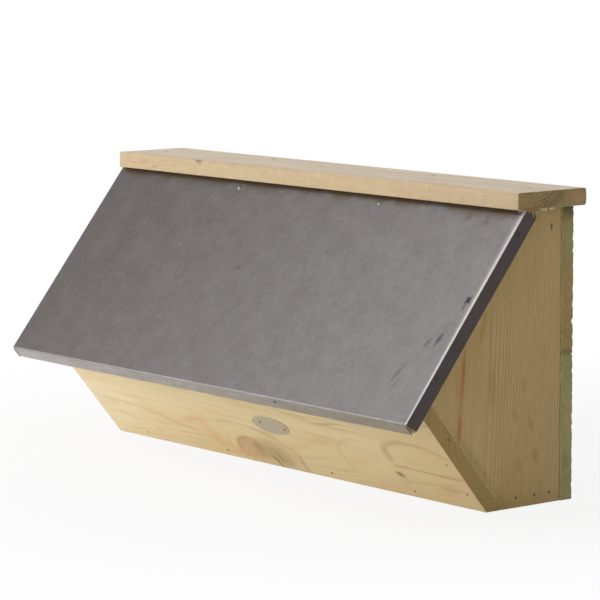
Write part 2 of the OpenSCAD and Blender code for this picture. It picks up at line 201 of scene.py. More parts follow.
def pine(name, grain, across, start, tones, heart, ring=4.5 * MM, wobble=5 * MM, tilt=0.0,
         swing=0.0, lines=0.6, thin=0.2, uneven=2.2, faint=0.1, knots=(), calm=(), spots=(), figure=(), end_spots=(),
         end_rings=None, fibre=0.05, specks=0.3, mottle=0.0, top_tones=None, end_lines=0.5,
         rough=0.62, stains=0.0):
    """Planed softwood, cut from a log whose growth rings run round the heart.

    grain and across are the ways that the fibres and the board's width run, start is where
    the board's own measure begins, and heart is the middle of the log in that measure: across
    the board and below its face. The rings make arched figure where the face runs along them,
    close straight lines where it cuts across them, and arcs on the sawn ends, which are
    darker because the open fibres drink up treatment and dirt."""
    material, tree = new_material(name)
    face = Vector(grain).cross(Vector(across))
    turn = Matrix((grain, across, face))
    place = add(tree, "Mapping", {
        "Vector": add(tree, "TexCoord", {}, out="Object"),
        "Rotation": turn.to_euler(), "Location": -(turn @ Vector(start))})

    # The log is never straight: its rings wander by some millimetres over a hand's length.
    bent = add(tree, "TexNoise", {"Scale": 1.0, "Detail": 2.0, "Roughness": 0.45, "Vector":
               add(tree, "VectorMath", {0: place, 1: (4.5, 17, 17)}, operation="MULTIPLY")},
               out="Color")
    wander = add(tree, "VectorMath", {0: bent, 1: (0.5, 0.5, 0.5)}, operation="SUBTRACT")
    wander = add(tree, "VectorMath", {0: wander, 1: (0, 2 * wobble, 3 * wobble)},
                 operation="MULTIPLY")
    log = add(tree, "VectorMath", {0: place, 1: wander}, operation="ADD")
    log = add(tree, "Mapping", {"Vector": log, "Location": (0, -heart[0], heart[1]),
                                "Rotation": (0, tilt, swing)})
    log = add(tree, "VectorMath", {0: log, 1: (0, 1, 1)}, operation="MULTIPLY")
    radius = add(tree, "VectorMath", {0: log}, out="Value", operation="LENGTH")

    # Knots lift the rings round them, and are darker and harder than the wood.
    knot_mask = None
    for at, size, angle, lift, dark in knots:
        hump = soft_spot(tree, place, at, (size[0] * 3.2, size[1] * 3.2), angle, 0.0, 1.0)
        radius = add(tree, "Math", {0: hump, 1: lift, 2: radius}, operation="MULTIPLY_ADD")
        core = soft_spot(tree, place, at, size, angle, 0.25, 1.0)
        core = add(tree, "Math", {0: core, 1: dark}, operation="MULTIPLY")
        knot_mask = core if knot_mask is None else add(
            tree, "Math", {0: knot_mask, 1: core}, operation="MAXIMUM")

    # Early wood is pale. Late wood darkens slowly outwards and stops sharply.
    turns = add(tree, "Math", {0: radius, 1: ring}, operation="DIVIDE")
    pace = add(tree, "TexNoise", {"W": turns, "Scale": 0.31, "Detail": 1.0},
               noise_dimensions="1D")
    turns = add(tree, "Math", {0: pace, 1: uneven, 2: turns}, operation="MULTIPLY_ADD")
    part = add(tree, "Math", {0: turns}, operation="FRACT")
    rise = add(tree, "MapRange", {"Value": part, "From Min": thin, "From Max": 0.82},
               interpolation_type="SMOOTHSTEP")
    fall = add(tree, "MapRange", {"Value": part, "From Min": 0.84, "From Max": 1.0,
                                  "To Min": 1.0, "To Max": 0.0},
               interpolation_type="SMOOTHSTEP")
    late = add(tree, "Math", {0: rise, 1: fall}, operation="MULTIPLY")
    late = add(tree, "Math", {0: late, 1: cloudy(tree, place, (9, 30, 30), 2.0, 0.5, 0.38,
                                                 0.62, (faint, 1.0))}, operation="MULTIPLY")
    for at, size, angle, share in calm:
        still = soft_spot(tree, place, at, size, angle, 0.3, 1.0)
        still = add(tree, "MapRange", {"Value": still, "To Min": 1.0, "To Max": 1 - share})
        late = add(tree, "Math", {0: late, 1: still}, operation="MULTIPLY")

    # Fibres are under 0.05 mm wide, so bundles of about 1.5 mm are drawn, 60 mm long.
    fibres = cloudy(tree, place, (16, 650, 650), 3.0, 0.6)
    streak = cloudy(tree, place, (5, 110, 110))
    seen = add(tree, "Math", {0: late, 1: lines}, operation="MULTIPLY")
    colour = add(tree, "Mix", {"Factor": seen, "A": linear(tones["early"]),
                               "B": linear(tones["late"])}, data_type="RGBA")
    patch = cloudy(tree, place, (7, 16, 16), 3.0, 0.5, 0.42, 0.68, (0.0, 0.55))
    colour = tint(tree, colour, tones["patch"], patch)
    ragged = add(tree, "VectorMath", {0: place, 1:
                 add(tree, "VectorMath", {0: wander, 1: (0, 0.5, 0)}, operation="MULTIPLY")},
                 operation="ADD")
    shaky = add(tree, "TexNoise", {"Vector": place, "Scale": 60.0, "Detail": 2.0,
                                   "Roughness": 0.5}, out="Color")
    shaky = add(tree, "VectorMath", {0: shaky, 1: (0.5, 0.5, 0.5)}, operation="SUBTRACT")
    shaky = add(tree, "VectorMath", {0: shaky, 1: (12 * MM, 6 * MM, 0), 2: ragged},
                operation="MULTIPLY_ADD")
    normal = add(tree, "NewGeometry", {}, out="Normal")
    if top_tones:
        # The top has weathered paler, with worn streaks along it and a pinkish cast.
        upward = add(tree, "VectorMath", {0: normal, 1: (0, 0, 1)}, out="Value",
                     operation="DOT_PRODUCT")
        upward = add(tree, "MapRange", {"Value": upward, "From Min": 0.5, "From Max": 0.9,
                                        "To Min": 0.0, "To Max": 0.88})
        worn = cloudy(tree, place, (6, 60, 60), 4.0, 0.6)
        worn = add(tree, "Mix", {"Factor": worn, "A": linear(top_tones[0]),
                                 "B": linear(top_tones[1])}, data_type="RGBA")
        colour = add(tree, "Mix", {"Factor": upward, "A": colour, "B": worn},
                     data_type="RGBA")
    broken = add(tree, "MapRange", {"Value": streak, "To Min": 0.6, "To Max": 1.1})
    for at, size, angle, tone, weight in spots:
        mask = soft_spot(tree, ragged, at, size, angle, 0.1, 1.0)
        mask = add(tree, "Math", {0: mask, 1: broken}, operation="MULTIPLY", use_clamp=True)
        colour = tint(tree, colour, tone, mask, weight)
    for at, size, angle, width, towards, tone, weight in figure:
        mask = stroke(tree, shaky, at, size, angle, width, towards)
        colour = tint(tree, colour, tone, mask, weight)
    if knot_mask is not None:
        colour = tint(tree, colour, tones["knot"], knot_mask)
    shade = add(tree, "MapRange", {"Value": fibres, "To Min": 1 - fibre,
                                   "To Max": 1 + fibre})
    shade = add(tree, "Math", {0: shade, 1:
                add(tree, "MapRange", {"Value": streak, "To Min": 1 - fibre / 2,
                                       "To Max": 1 + fibre / 2})}, operation="MULTIPLY")
    if mottle:
        # Raised grain and dust, alike at every scale from 10 mm down.
        dust = cloudy(tree, place, (60, 100, 100), 5.0, 0.85, 0.3, 0.7,
                      (1 - mottle, 1 + mottle))
        shade = add(tree, "Math", {0: shade, 1: dust}, operation="MULTIPLY")
    colour = add(tree, "VectorMath", {0: colour, "Scale": shade}, operation="SCALE")

    # Short dark specks, where resin ducts and dirt show, about 1 mm by 6 mm.
    speck = cloudy(tree, place, (170, 620, 620), 1.0, 0.5, 0.66, 0.76, (0.0, specks))
    colour = tint(tree, colour, "#7A6238", speck)

    if stains:
        cloud = cloudy(tree, place, (38, 38, 38), 4.0, 0.65, 0.5, 0.75, (0.0, stains))
        colour = tint(tree, colour, tones["stain"], cloud)

    # Sawn ends: open fibres, darker and blotchy, with rings that show in some parts only.
    facing = add(tree, "VectorMath", {0: normal, 1: grain}, out="Value",
                 operation="DOT_PRODUCT")
    facing = add(tree, "Math", {0: facing}, operation="ABSOLUTE")
    end = add(tree, "MapRange", {"Value": facing, "From Min": 0.72, "From Max": 0.95})
    pores = cloudy(tree, place, (520, 520, 520), 3.0, 0.7, 0.35, 0.65, (0.0, 0.35))
    section = add(tree, "CombineXYZ", {
        "X": add(tree, "SeparateXYZ", {"Vector": place}, out="Y"),
        "Y": add(tree, "SeparateXYZ", {"Vector": place}, out="Z")})
    shown = cloudy(tree, place, (20, 28, 28), 1.0, 0.5, 0.42, 0.58, (0.1, end_lines))
    if end_rings:
        # The saw has torn the wood along its rings here.
        torn = soft_spot(tree, section, *end_rings, 0.4, 1.0)
        shown = add(tree, "MapRange", {"Value": torn, "To Min": 0.08, "To Max": end_lines})
    end_mix = add(tree, "Math", {0: late, 1: shown, 2: pores}, operation="MULTIPLY_ADD",
                  use_clamp=True)
    end_colour = add(tree, "Mix", {"Factor": end_mix, "A": linear(tones["end"]),
                                   "B": linear(tones["end_late"])}, data_type="RGBA")
    blotch = cloudy(tree, place, (45, 45, 45), 3.0, 0.6, 0.45, 0.7, (0.0, 0.6))
    end_colour = tint(tree, end_colour, tones["end_patch"], blotch)
    for at, size, angle, tone, weight in end_spots:
        mask = soft_spot(tree, section, at, size, angle, 0.1, 1.0)
        end_colour = tint(tree, end_colour, tone, mask, weight)
    end_colour = add(tree, "VectorMath", {0: end_colour, "Scale": shade}, operation="SCALE")
    colour = add(tree, "Mix", {"Factor": end, "A": colour, "B": end_colour},
                 data_type="RGBA")

    # Saw teeth leave faint ridges across the ends, about 2.5 mm apart.
    teeth = add(tree, "TexWave", {"Vector": ragged, "Scale": 64.0, "Distortion": 2.5,
                                  "Detail": 2.0}, out="Fac", bands_direction="DIAGONAL")
    teeth = add(tree, "Math", {0: teeth, 1: end}, operation="MULTIPLY")
    height = add(tree, "Math", {0: fibres, 1: 0.2}, operation="MULTIPLY")
    height = add(tree, "Math", {0: late, 1: 0.25, 2: height}, operation="MULTIPLY_ADD")
    height = add(tree, "Math", {0: teeth, 1: 0.25, 2: height}, operation="MULTIPLY_ADD")
    height = add(tree, "Math", {0: pores, 1: end, 2: height}, operation="MULTIPLY_ADD")
    bump = add(tree, "Bump", {"Height": height, "Strength": 0.3, "Distance": 0.35 * MM})
    shader = add(tree, "BsdfPrincipled", {"Base Color": colour, "Roughness": rough,
                                          "IOR": 1.5, "Specular IOR Level": 0.35,
                                          "Normal": bump})
    add(tree, "OutputMaterial", {"Surface": shader})
    return material


def zinc_sheet(name):
    """Zinc-coated steel sheet, dulled outdoors: a warm mid grey with dense low flecks, cloudy
    mottling, brown stains and painted shadow under the lid, and a few scrapes. A painted
    reflection pales it to the right and towards the eave, its creases have painted highlights,
    its front fold painted light, and its folded sides painted shade, dark and brownish."""
    material, tree = new_material(name)
    turn = Matrix((ALONG, ROOF_UP, ROOF_OUT))
    place = add(tree, "Mapping", {
        "Vector": add(tree, "TexCoord", {}, out="Object"),
        "Rotation": turn.to_euler(), "Location": -(turn @ crease)})
    right = add(tree, "SeparateXYZ", {"Vector": place}, out="X")
    up_slope = add(tree, "SeparateXYZ", {"Vector": place}, out="Y")
    cloud = cloudy(tree, place, (26, 26, 26), 4.0, 0.6, 0.0, 1.0)
    # Painted reflection: the sheet is paler towards its right end and its eave, with a cloudy tone laid over.
    sheen_and_cloud = add(tree, "VectorMath", {0: place, 1: (1.3, -0.5, 0)}, out="Value",
                 operation="DOT_PRODUCT")
    sheen_and_cloud = add(tree, "Math", {0: cloud, 1: 0.8, 2: sheen_and_cloud}, operation="MULTIPLY_ADD")
    colour = add(tree, "Mix", {"Factor":
                 add(tree, "MapRange", {"Value": sheen_and_cloud, "From Min": -0.15,
                                        "From Max": 0.85}),
                 "A": linear("#544E4C"), "B": linear("#74706F")}, data_type="RGBA")
    # Zinc crystals and the dust between them, drawn about 2 mm across. Their light and dark
    # flecks are low, dense and alike at every scale.
    mottle = cloudy(tree, place, (75, 75, 75), 5.0, 0.88, 0.3, 0.7, (0.86, 1.14))
    colour = add(tree, "VectorMath", {0: colour, "Scale": mottle}, operation="SCALE")
    crystals = add(tree, "TexVoronoi", {"Vector": place, "Scale": 420.0}, out="Color")
    crystals = add(tree, "SeparateColor", {"Color": crystals}, out="Red")
    for seed, tone, weight in ((3.1, "#94908C", 0.3), (7.7, "#3E3836", 0.3)):
        flecks = add(tree, "TexNoise", {"Vector": place, "W": seed, "Scale": 330.0,
                                        "Detail": 2.0, "Roughness": 0.6},
                     noise_dimensions="4D")
        flecks = add(tree, "MapRange", {"Value": flecks, "From Min": 0.57, "From Max": 0.72,
                                        "To Min": 0.0, "To Max": weight})
        colour = tint(tree, colour, tone, flecks)

    # A brown tannin stain runs some millimetres down from the lid, more in places, and its top holds painted shadow
    # of the lid's edge.
    reach = cloudy(tree, place, (30, 6, 6), 3.0, 0.5, 0.3, 0.75, (5 * MM, 26 * MM))
    stain = add(tree, "Math", {0: sheet_l, 1: up_slope}, operation="SUBTRACT")
    stain = add(tree, "Math", {0: stain, 1: reach}, operation="DIVIDE")
    stain = add(tree, "MapRange", {"Value": stain, "From Min": 0.15, "From Max": 1.0,
                                   "To Min": 0.85, "To Max": 0.0},
                interpolation_type="SMOOTHSTEP")
    colour = tint(tree, colour, "#54442F", stain)
    for at, size, angle, tone, weight in SHEET_MARKS:
        mask = soft_spot(tree, place, [v * MM for v in at], [v * MM for v in size],
                         math.radians(angle), 0.1, 1.0)
        colour = tint(tree, colour, tone, mask, weight)

    # Next to the right crease a painted highlight, where the sheet rolls into the bend: a bright
    # line that narrows downwards, with a wider pale border.
    in_from_edge = add(tree, "Math", {0: sheet_high.x, 1: right}, operation="SUBTRACT")
    for narrow, wide, start, tone, weight in ((5 * MM, 12 * MM, 0.2, "#A19C98", 0.5),
                                              (3.2 * MM, 5 * MM, 0.7, "#BEB9B5", 0.9)):
        band = add(tree, "MapRange", {"Value": up_slope, "From Min": 0.0,
                                      "From Max": sheet_l, "To Min": narrow,
                                      "To Max": wide})
        crease_glint = add(tree, "Math", {0: in_from_edge, 1: band}, operation="DIVIDE")
        crease_glint = add(tree, "MapRange", {"Value": crease_glint, "From Min": start, "From Max": 1.1,
                                        "To Min": weight, "To Max": 0.0},
                     interpolation_type="SMOOTHSTEP")
        colour = tint(tree, colour, tone, crease_glint)

    # Painted light on the front fold: brighter zinc on the left, fading to the right, with worn tone laid over.
    normal = add(tree, "NewGeometry", {}, out="Normal")
    front_flat = add(tree, "VectorMath", {0: normal, 1: FRONT_OUT}, out="Value",
                     operation="DOT_PRODUCT")
    forwards = add(tree, "MapRange", {"Value": front_flat, "From Min": 0.5,
                                      "From Max": 0.95})
    lit_fold_tone = add(tree, "Mix", {"Factor":
                add(tree, "MapRange", {"Value": right, "From Min": -0.38, "From Max": 0.38}),
                "A": linear("#ABA6A4"), "B": linear("#8B806E")}, data_type="RGBA")
    worn = cloudy(tree, place, (14, 60, 60), 3.0, 0.6, 0.3, 0.7, (0.88, 1.12))
    lit_fold_tone = add(tree, "VectorMath", {0: lit_fold_tone, "Scale": worn}, operation="SCALE")
    lit_fold_tone = add(tree, "VectorMath", {0: lit_fold_tone, "Scale": mottle}, operation="SCALE")
    colour = add(tree, "Mix", {"Factor": forwards, "A": colour, "B": lit_fold_tone},
                 data_type="RGBA")

    # Painted shade on the folded sides, which look sideways: a dark brownish grey.
    sideways = add(tree, "VectorMath", {0: normal, 1: (1, 0, 0)}, out="Value",
                   operation="DOT_PRODUCT")
    sideways = add(tree, "Math", {0: sideways}, operation="ABSOLUTE")
    side_shade_share = add(tree, "MapRange", {"Value": sideways, "From Min": 0.55,
                                        "From Max": 0.8})
    dark = add(tree, "Mix", {"Factor": cloud, "A": linear("#3A3230"),
                             "B": linear("#4A4140")}, data_type="RGBA")
    colour = add(tree, "Mix", {"Factor": side_shade_share, "A": colour, "B": dark},
                 data_type="RGBA")

    # Painted highlights on the creases, where the bends face the light: brightly at the sides,
    # and only a little along the eave.
    outwards = add(tree, "VectorMath", {0: normal, 1: ROOF_OUT}, out="Value",
                   operation="DOT_PRODUCT")
    flat = add(tree, "Math", {0: outwards, 1: front_flat}, operation="MAXIMUM")
    bent = add(tree, "MapRange", {"Value": flat, "From Min": 0.8, "From Max": 0.97,
                                  "To Min": 1.0, "To Max": 0.0})
    aside = add(tree, "MapRange", {"Value": sideways, "From Min": 0.5, "From Max": 0.75,
                                   "To Min": 1.0, "To Max": 0.0})
    bent = add(tree, "Math", {0: bent, 1: aside}, operation="MULTIPLY")
    patchy = cloudy(tree, place, (60, 60, 60), 3.0, 0.6, 0.3, 0.6, (0.35, 0.95))
    bent = add(tree, "Math", {0: bent, 1: patchy}, operation="MULTIPLY")
    eave_highlight = add(tree, "Mix", {"Factor":
               add(tree, "MapRange", {"Value": right, "From Min": -0.38, "From Max": 0.38}),
               "A": linear("#68635F"), "B": linear("#7A7672")}, data_type="RGBA")
    crease_highlight = add(tree, "Mix", {"Factor":
                 add(tree, "MapRange", {"Value": sideways, "From Min": 0.05,
                                        "From Max": 0.3}),
                 "A": eave_highlight, "B": linear("#C8C4C3")}, data_type="RGBA")
    colour = add(tree, "Mix", {"Factor": bent, "A": colour, "B": crease_highlight},
                 data_type="RGBA")

    roughness = add(tree, "MapRange", {"Value": crystals, "To Min": 0.42, "To Max": 0.55})
    dents = add(tree, "TexNoise", {"Vector": place, "Scale": 210.0, "Detail": 3.0})
    bump = add(tree, "Bump", {"Height": dents, "Strength": 0.12, "Distance": 0.3 * MM})
    shader = add(tree, "BsdfPrincipled", {"Base Color": colour, "Metallic": 0.55,
                                          "Roughness": roughness, "Normal": bump})
    add(tree, "OutputMaterial", {"Surface": shader})
    return material


# Scrapes, dents and stains on the sheet: [x, up the slope], [half length, half width], turn
# in degrees, colour and how strongly it shows.
SHEET_MARKS = [
    ([-40, 158], [7, 4], 20, "#45403A", 0.6),
    ([98, 196], [6, 3], 60, "#413B38", 0.55),
    ([116, 68], [9, 1.5], 60, "#8E8A86", 0.4),
    ([368, 160], [10, 3.8], 50, "#241F1D", 1.0),
    ([368, 160], [9, 3.6], 130, "#241F1D", 1.0),
    ([367, 151], [8, 2.2], 80, "#2A2523", 0.8),
    ([368, 160], [5, 5.0], 0, "#241F1D", 1.0),
    ([357, 108], [14, 5.0], 76, "#3A3532", 0.85),
    ([343, 102], [10, 4.6], 68, "#45403C", 0.65),
    ([323, 60], [24, 4], 72, "#504B4A", 0.65),
    ([329, 48], [14, 5], 70, "#5E5A58", 0.5),
    ([-134, 78], [10, 1], 50, "#8E8A86", 0.4),
    ([297, 264], [9, 7], 80, "#5E4E38", 0.7),
    ([328, 260], [10, 6], 80, "#64533F", 0.65),
    ([-173, 178], [3, 2], 0, "#8E8A86", 0.5),
    ([-288, 265], [10, 5], 80, "#54483A", 0.6),
]


def bare_metal(name, colour, roughness, grit, flecks, metallic=1.0, worn="#8E8A84"):
    """Small metal parts: zinc-plated or plain steel, dulled and finely pitted."""
    material, tree = new_material(name)
    place = add(tree, "TexCoord", {}, out="Object")
    pits = add(tree, "TexNoise", {"Vector": place, "Scale": grit, "Detail": 4.0,
                                  "Roughness": 0.6})
    blend = add(tree, "MapRange", {"Value": pits, "From Min": 0.4, "From Max": 0.65,
                                   "To Min": 0.0, "To Max": flecks})
    tone = add(tree, "Mix", {"Factor": blend, "A": linear(colour), "B": linear(worn)},
               data_type="RGBA")
    rough = add(tree, "MapRange", {"Value": pits, "To Min": roughness - 0.08,
                                   "To Max": roughness + 0.12})
    bump = add(tree, "Bump", {"Height": pits, "Strength": 0.25, "Distance": 0.1 * MM})
    shader = add(tree, "BsdfPrincipled", {"Base Color": tone, "Metallic": metallic,
                                          "Roughness": rough, "Normal": bump})
    add(tree, "OutputMaterial", {"Surface": shader})
    return material


# ---------------------------------------------------------------- making boards

def side_view(node):
    """Corners (y, z) of a board's side view, anticlockwise, from its solid."""
    spots = {(round(v.co.y, 6), round(v.co.z, 6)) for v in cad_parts[node].data.vertices}
    points = [Vector(spot) for spot in sorted(spots)]
    hull = [points[i] for i in geometry.convex_hull_2d(points)]
    corners = []
    for i, point in enumerate(hull):
        before = (point - hull[i - 1]).normalized()
        after = (hull[(i + 1) % len(hull)] - point).normalized()
        if before.angle(after) > math.radians(2):
            corners.append(point)
    area = sum(a.x * b.y - b.x * a.y for a, b in zip(corners, corners[1:] + corners[:1]))
    return corners if area > 0 else corners[::-1]


def eased_outline(corners, eases, pitch):
    """Points round a side view with rounded corners: each with the way out of the wood and
    1 on a corner or 0 between corners."""
    arcs = []
    for i, (corner, ease) in enumerate(zip(corners, eases)):
        back = (corners[i - 1] - corner).normalized()
        on = (corners[(i + 1) % len(corners)] - corner).normalized()
        middle = corner + (back + on).normalized() * ease / math.sin(back.angle(on) / 2)
        first, last = Vector((-back.y, back.x)), Vector((on.y, -on.x))
        arcs.append([(middle + ease * out, out, 1.0) for out in
                     (first.slerp(last, k / 5) for k in range(6))])
    points = []
    for i, arc in enumerate(arcs):
        points += arc
        start, end = arc[-1], arcs[(i + 1) % len(arcs)][0]
        count = max(1, round((end[0] - start[0]).length / pitch))
        points += [(start[0].lerp(end[0], k / count), start[1], 0.0)
                   for k in range(1, count)]
    return points


def make_object(name, mesh, material):
    made = bpy.data.objects.new(name, mesh)
    bpy.context.scene.collection.objects.link(made)
    mesh.materials.append(material)
    return made


def cut_away(piece, cutter_mesh):
    """Cuts holes in a piece."""
    cutter = bpy.data.objects.new("cutter", cutter_mesh)
    bpy.context.scene.collection.objects.link(cutter)
    cut = piece.modifiers.new("cut", "BOOLEAN")
    cut.operation = "DIFFERENCE"
    cut.solver = "EXACT"
    cut.object = cutter
    seen = piece.evaluated_get(bpy.context.evaluated_depsgraph_get())
    mesh = bpy.data.meshes.new_from_object(seen)
    piece.modifiers.clear()
    piece.data = mesh
    bpy.data.objects.remove(cutter)


def board(node, name, material, ease=0.9 * MM, wear=0.3 * MM, pitch=6 * MM,
          step=6 * MM, chips=None, holes=(), rounder=None):
    """A board that stands for a node: its side view swept along the box, with eased corners,
    worn edges and holes over the nail heads. chips moves a point, and rounder gives the
    radius of a corner of the side view."""
    low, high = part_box(node)
    corners = side_view(node)
    eases = [rounder(c) if rounder else 1.2 * ease for c in corners]
    outline = eased_outline(corners, eases, pitch)
    steps = [(ease * (1 - math.cos(t)), ease * (1 - math.sin(t)))
             for t in (math.radians(a) for a in (0, 30, 60, 90))]
    steps += [(ease + 1.5 * MM, 0.0), (ease + 3.5 * MM, 0.0)]
    first, last = low.x + ease + 3.5 * MM, high.x - ease - 3.5 * MM
    count = max(1, round((last - first) / step))
    inner = [(first + (last - first) * k / count, 0.0, 0) for k in range(1, count)]
    sections = [(low.x + x, inset, 1) for x, inset in steps] + inner
    sections += [(high.x - x, inset, -1) for x, inset in reversed(steps)]
    mesh = bmesh.new()
    rings = []
    for x, inset, end in sections:
        ring = []
        for point, out, corner in outline:
            flat = point - out * inset
            spot = Vector((x, flat.x, flat.y))
            near = max(corner, 1.0 if end else 0.0)
            bite = noise.noise(spot * 160 + Vector((7, 3, len(name)))) \
                + 0.5 * noise.noise(spot * 520)
            bite = max(0.0, bite) * wear * (0.1 + near)
            spot -= Vector((0, out.x, out.y)) * bite
            if end and inset:
                spot.x += end * bite * 0.4
            if chips:
                spot = chips(spot, out, corner)
            ring.append(mesh.verts.new(spot))
        rings.append(ring)
    for ring, after in zip(rings, rings[1:]):
        for i in range(len(ring)):
            j = (i + 1) % len(ring)
            mesh.faces.new((ring[i], after[i], after[j], ring[j]))
    mesh.faces.new(rings[0])
    mesh.faces.new(rings[-1][::-1])
    bmesh.ops.recalc_face_normals(mesh, faces=mesh.faces)
    data = bpy.data.meshes.new(name)
    mesh.to_mesh(data)
    made = make_object(name, data, material)
    if holes:
        cutter = bmesh.new()
        for centre, way_out, radius, depth in holes:
            spin = way_out.to_track_quat("Z", "Y").to_matrix().to_4x4()
            bmesh.ops.create_cone(cutter, cap_ends=True, segments=24, radius1=radius,
                                  radius2=radius, depth=depth + 3 * MM,
                                  matrix=Matrix.Translation(
                                      centre + way_out * (1.5 * MM - depth / 2)) @ spin)
        cutter_mesh = bpy.data.meshes.new("cutter")
        cutter.to_mesh(cutter_mesh)
        cut_away(made, cutter_mesh)
        made.data.materials.clear()
        made.data.materials.append(material)
    return settle(made, [node])


def settle(piece, nodes):
    """The piece stands for these nodes and moves with the box."""
    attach(piece, "root")
    if nodes:
        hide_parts(*nodes)
    return piece


# ---------------------------------------------------------------- nails and screws

def head_places(node, way_out):
    """Middle of the top of each nail or screw in a node, where way_out is out of the wood."""
    solid = bmesh.new()
    solid.from_mesh(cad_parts[node].data)
    bmesh.ops.remove_doubles(solid, verts=solid.verts, dist=1e-6)
    solid.verts.index_update()
    done, places = set(), []
    for first in list(solid.verts):
        if first.index in done:
            continue
        done.add(first.index)
        queue, found = [first], []
        while queue:
            vert = queue.pop()
            found.append(vert.co.copy())
            for edge in vert.link_edges:
                other = edge.other_vert(vert)
                if other.index not in done:
                    done.add(other.index)
                    queue.append(other)
        top = max(p.dot(way_out) for p in found)
        rim = [p for p in found if p.dot(way_out) > top - 1e-5]
        places.append(sum(rim, Vector()) / len(rim))
    solid.free()
    return sorted(places, key=tuple)


def turned(mesh, matrix, profile, sides=32, recess=None):
    """Turns a profile of (radius, height) points, from the middle of the top outwards and
    down, and presses a cross of (half length, half width, depth) into its head."""
    rows = []
    for radius, height in profile:
        row = []
        for k in range(sides if radius > 0 else 1):
            angle = 2 * math.pi * k / sides
            x, y = radius * math.cos(angle), radius * math.sin(angle)
            down = 0.0
            if recess and min(abs(x), abs(y)) < recess[1] and max(abs(x), abs(y)) < recess[0]:
                down = recess[2] * (1 - 0.6 * max(abs(x), abs(y)) / recess[0])
            row.append(mesh.verts.new(matrix @ Vector((x, y, height - down))))
        rows.append(row)
    for row, after in zip(rows, rows[1:]):
        for k in range(sides):
            j = (k + 1) % sides
            if len(row) == 1:
                mesh.faces.new((row[0], after[k], after[j]))
            elif len(after) == 1:
                mesh.faces.new((row[k], after[0], row[j]))
            else:
                mesh.faces.new((row[k], after[k], after[j], row[j]))


def nail_profile(head_r, head_h, shank_r, length):
    """Wire nail: a flat head with a rolled edge, and a point."""
    bevel = head_h / 4
    return [(0, 0), (head_r * 0.5, 0.02 * MM), (head_r - bevel, 0), (head_r, -bevel),
            (head_r, -head_h + bevel), (head_r - bevel, -head_h), (shank_r, -head_h),
            (shank_r, -length + 3 * shank_r), (0, -length)]


def pan_head_profile(head_r, head_h, shank_r, length):
    """Screw with a low domed head. The top is the highest point."""
    steps = [k / 9 for k in range(10)]
    dome = [(head_r * s, -head_h * s ** 3.2) for s in steps]
    return dome + [(head_r, -head_h), (shank_r, -head_h), (shank_r, -length * 0.8),
                   (0, -length)]


def fixings(node, name, way_out, profile, material, recess=None, sides=32,
            tip=None):
    """Nails or screws that stand for a node, with their heads where the node has them."""
    mesh = bmesh.new()
    shake = random.Random(node)
    for centre in head_places(node, way_out):
        spin = way_out.to_track_quat("Z", "Y").to_matrix().to_4x4()
        twist = Matrix.Rotation(shake.uniform(0, math.pi), 4, "Z")
        lean = Matrix.Rotation(math.radians(tip or 0), 4, "X")
        turned(mesh, Matrix.Translation(centre) @ spin @ lean @ twist, profile, sides, recess)
    bmesh.ops.recalc_face_normals(mesh, faces=mesh.faces)
    data = bpy.data.meshes.new(name)
    mesh.to_mesh(data)
    data.polygons.foreach_set("use_smooth", [True] * len(data.polygons))
    data.set_sharp_from_angle(angle=math.radians(35))
    return settle(make_object(name, data, material), [node])


# ---------------------------------------------------------------- the folded sheet

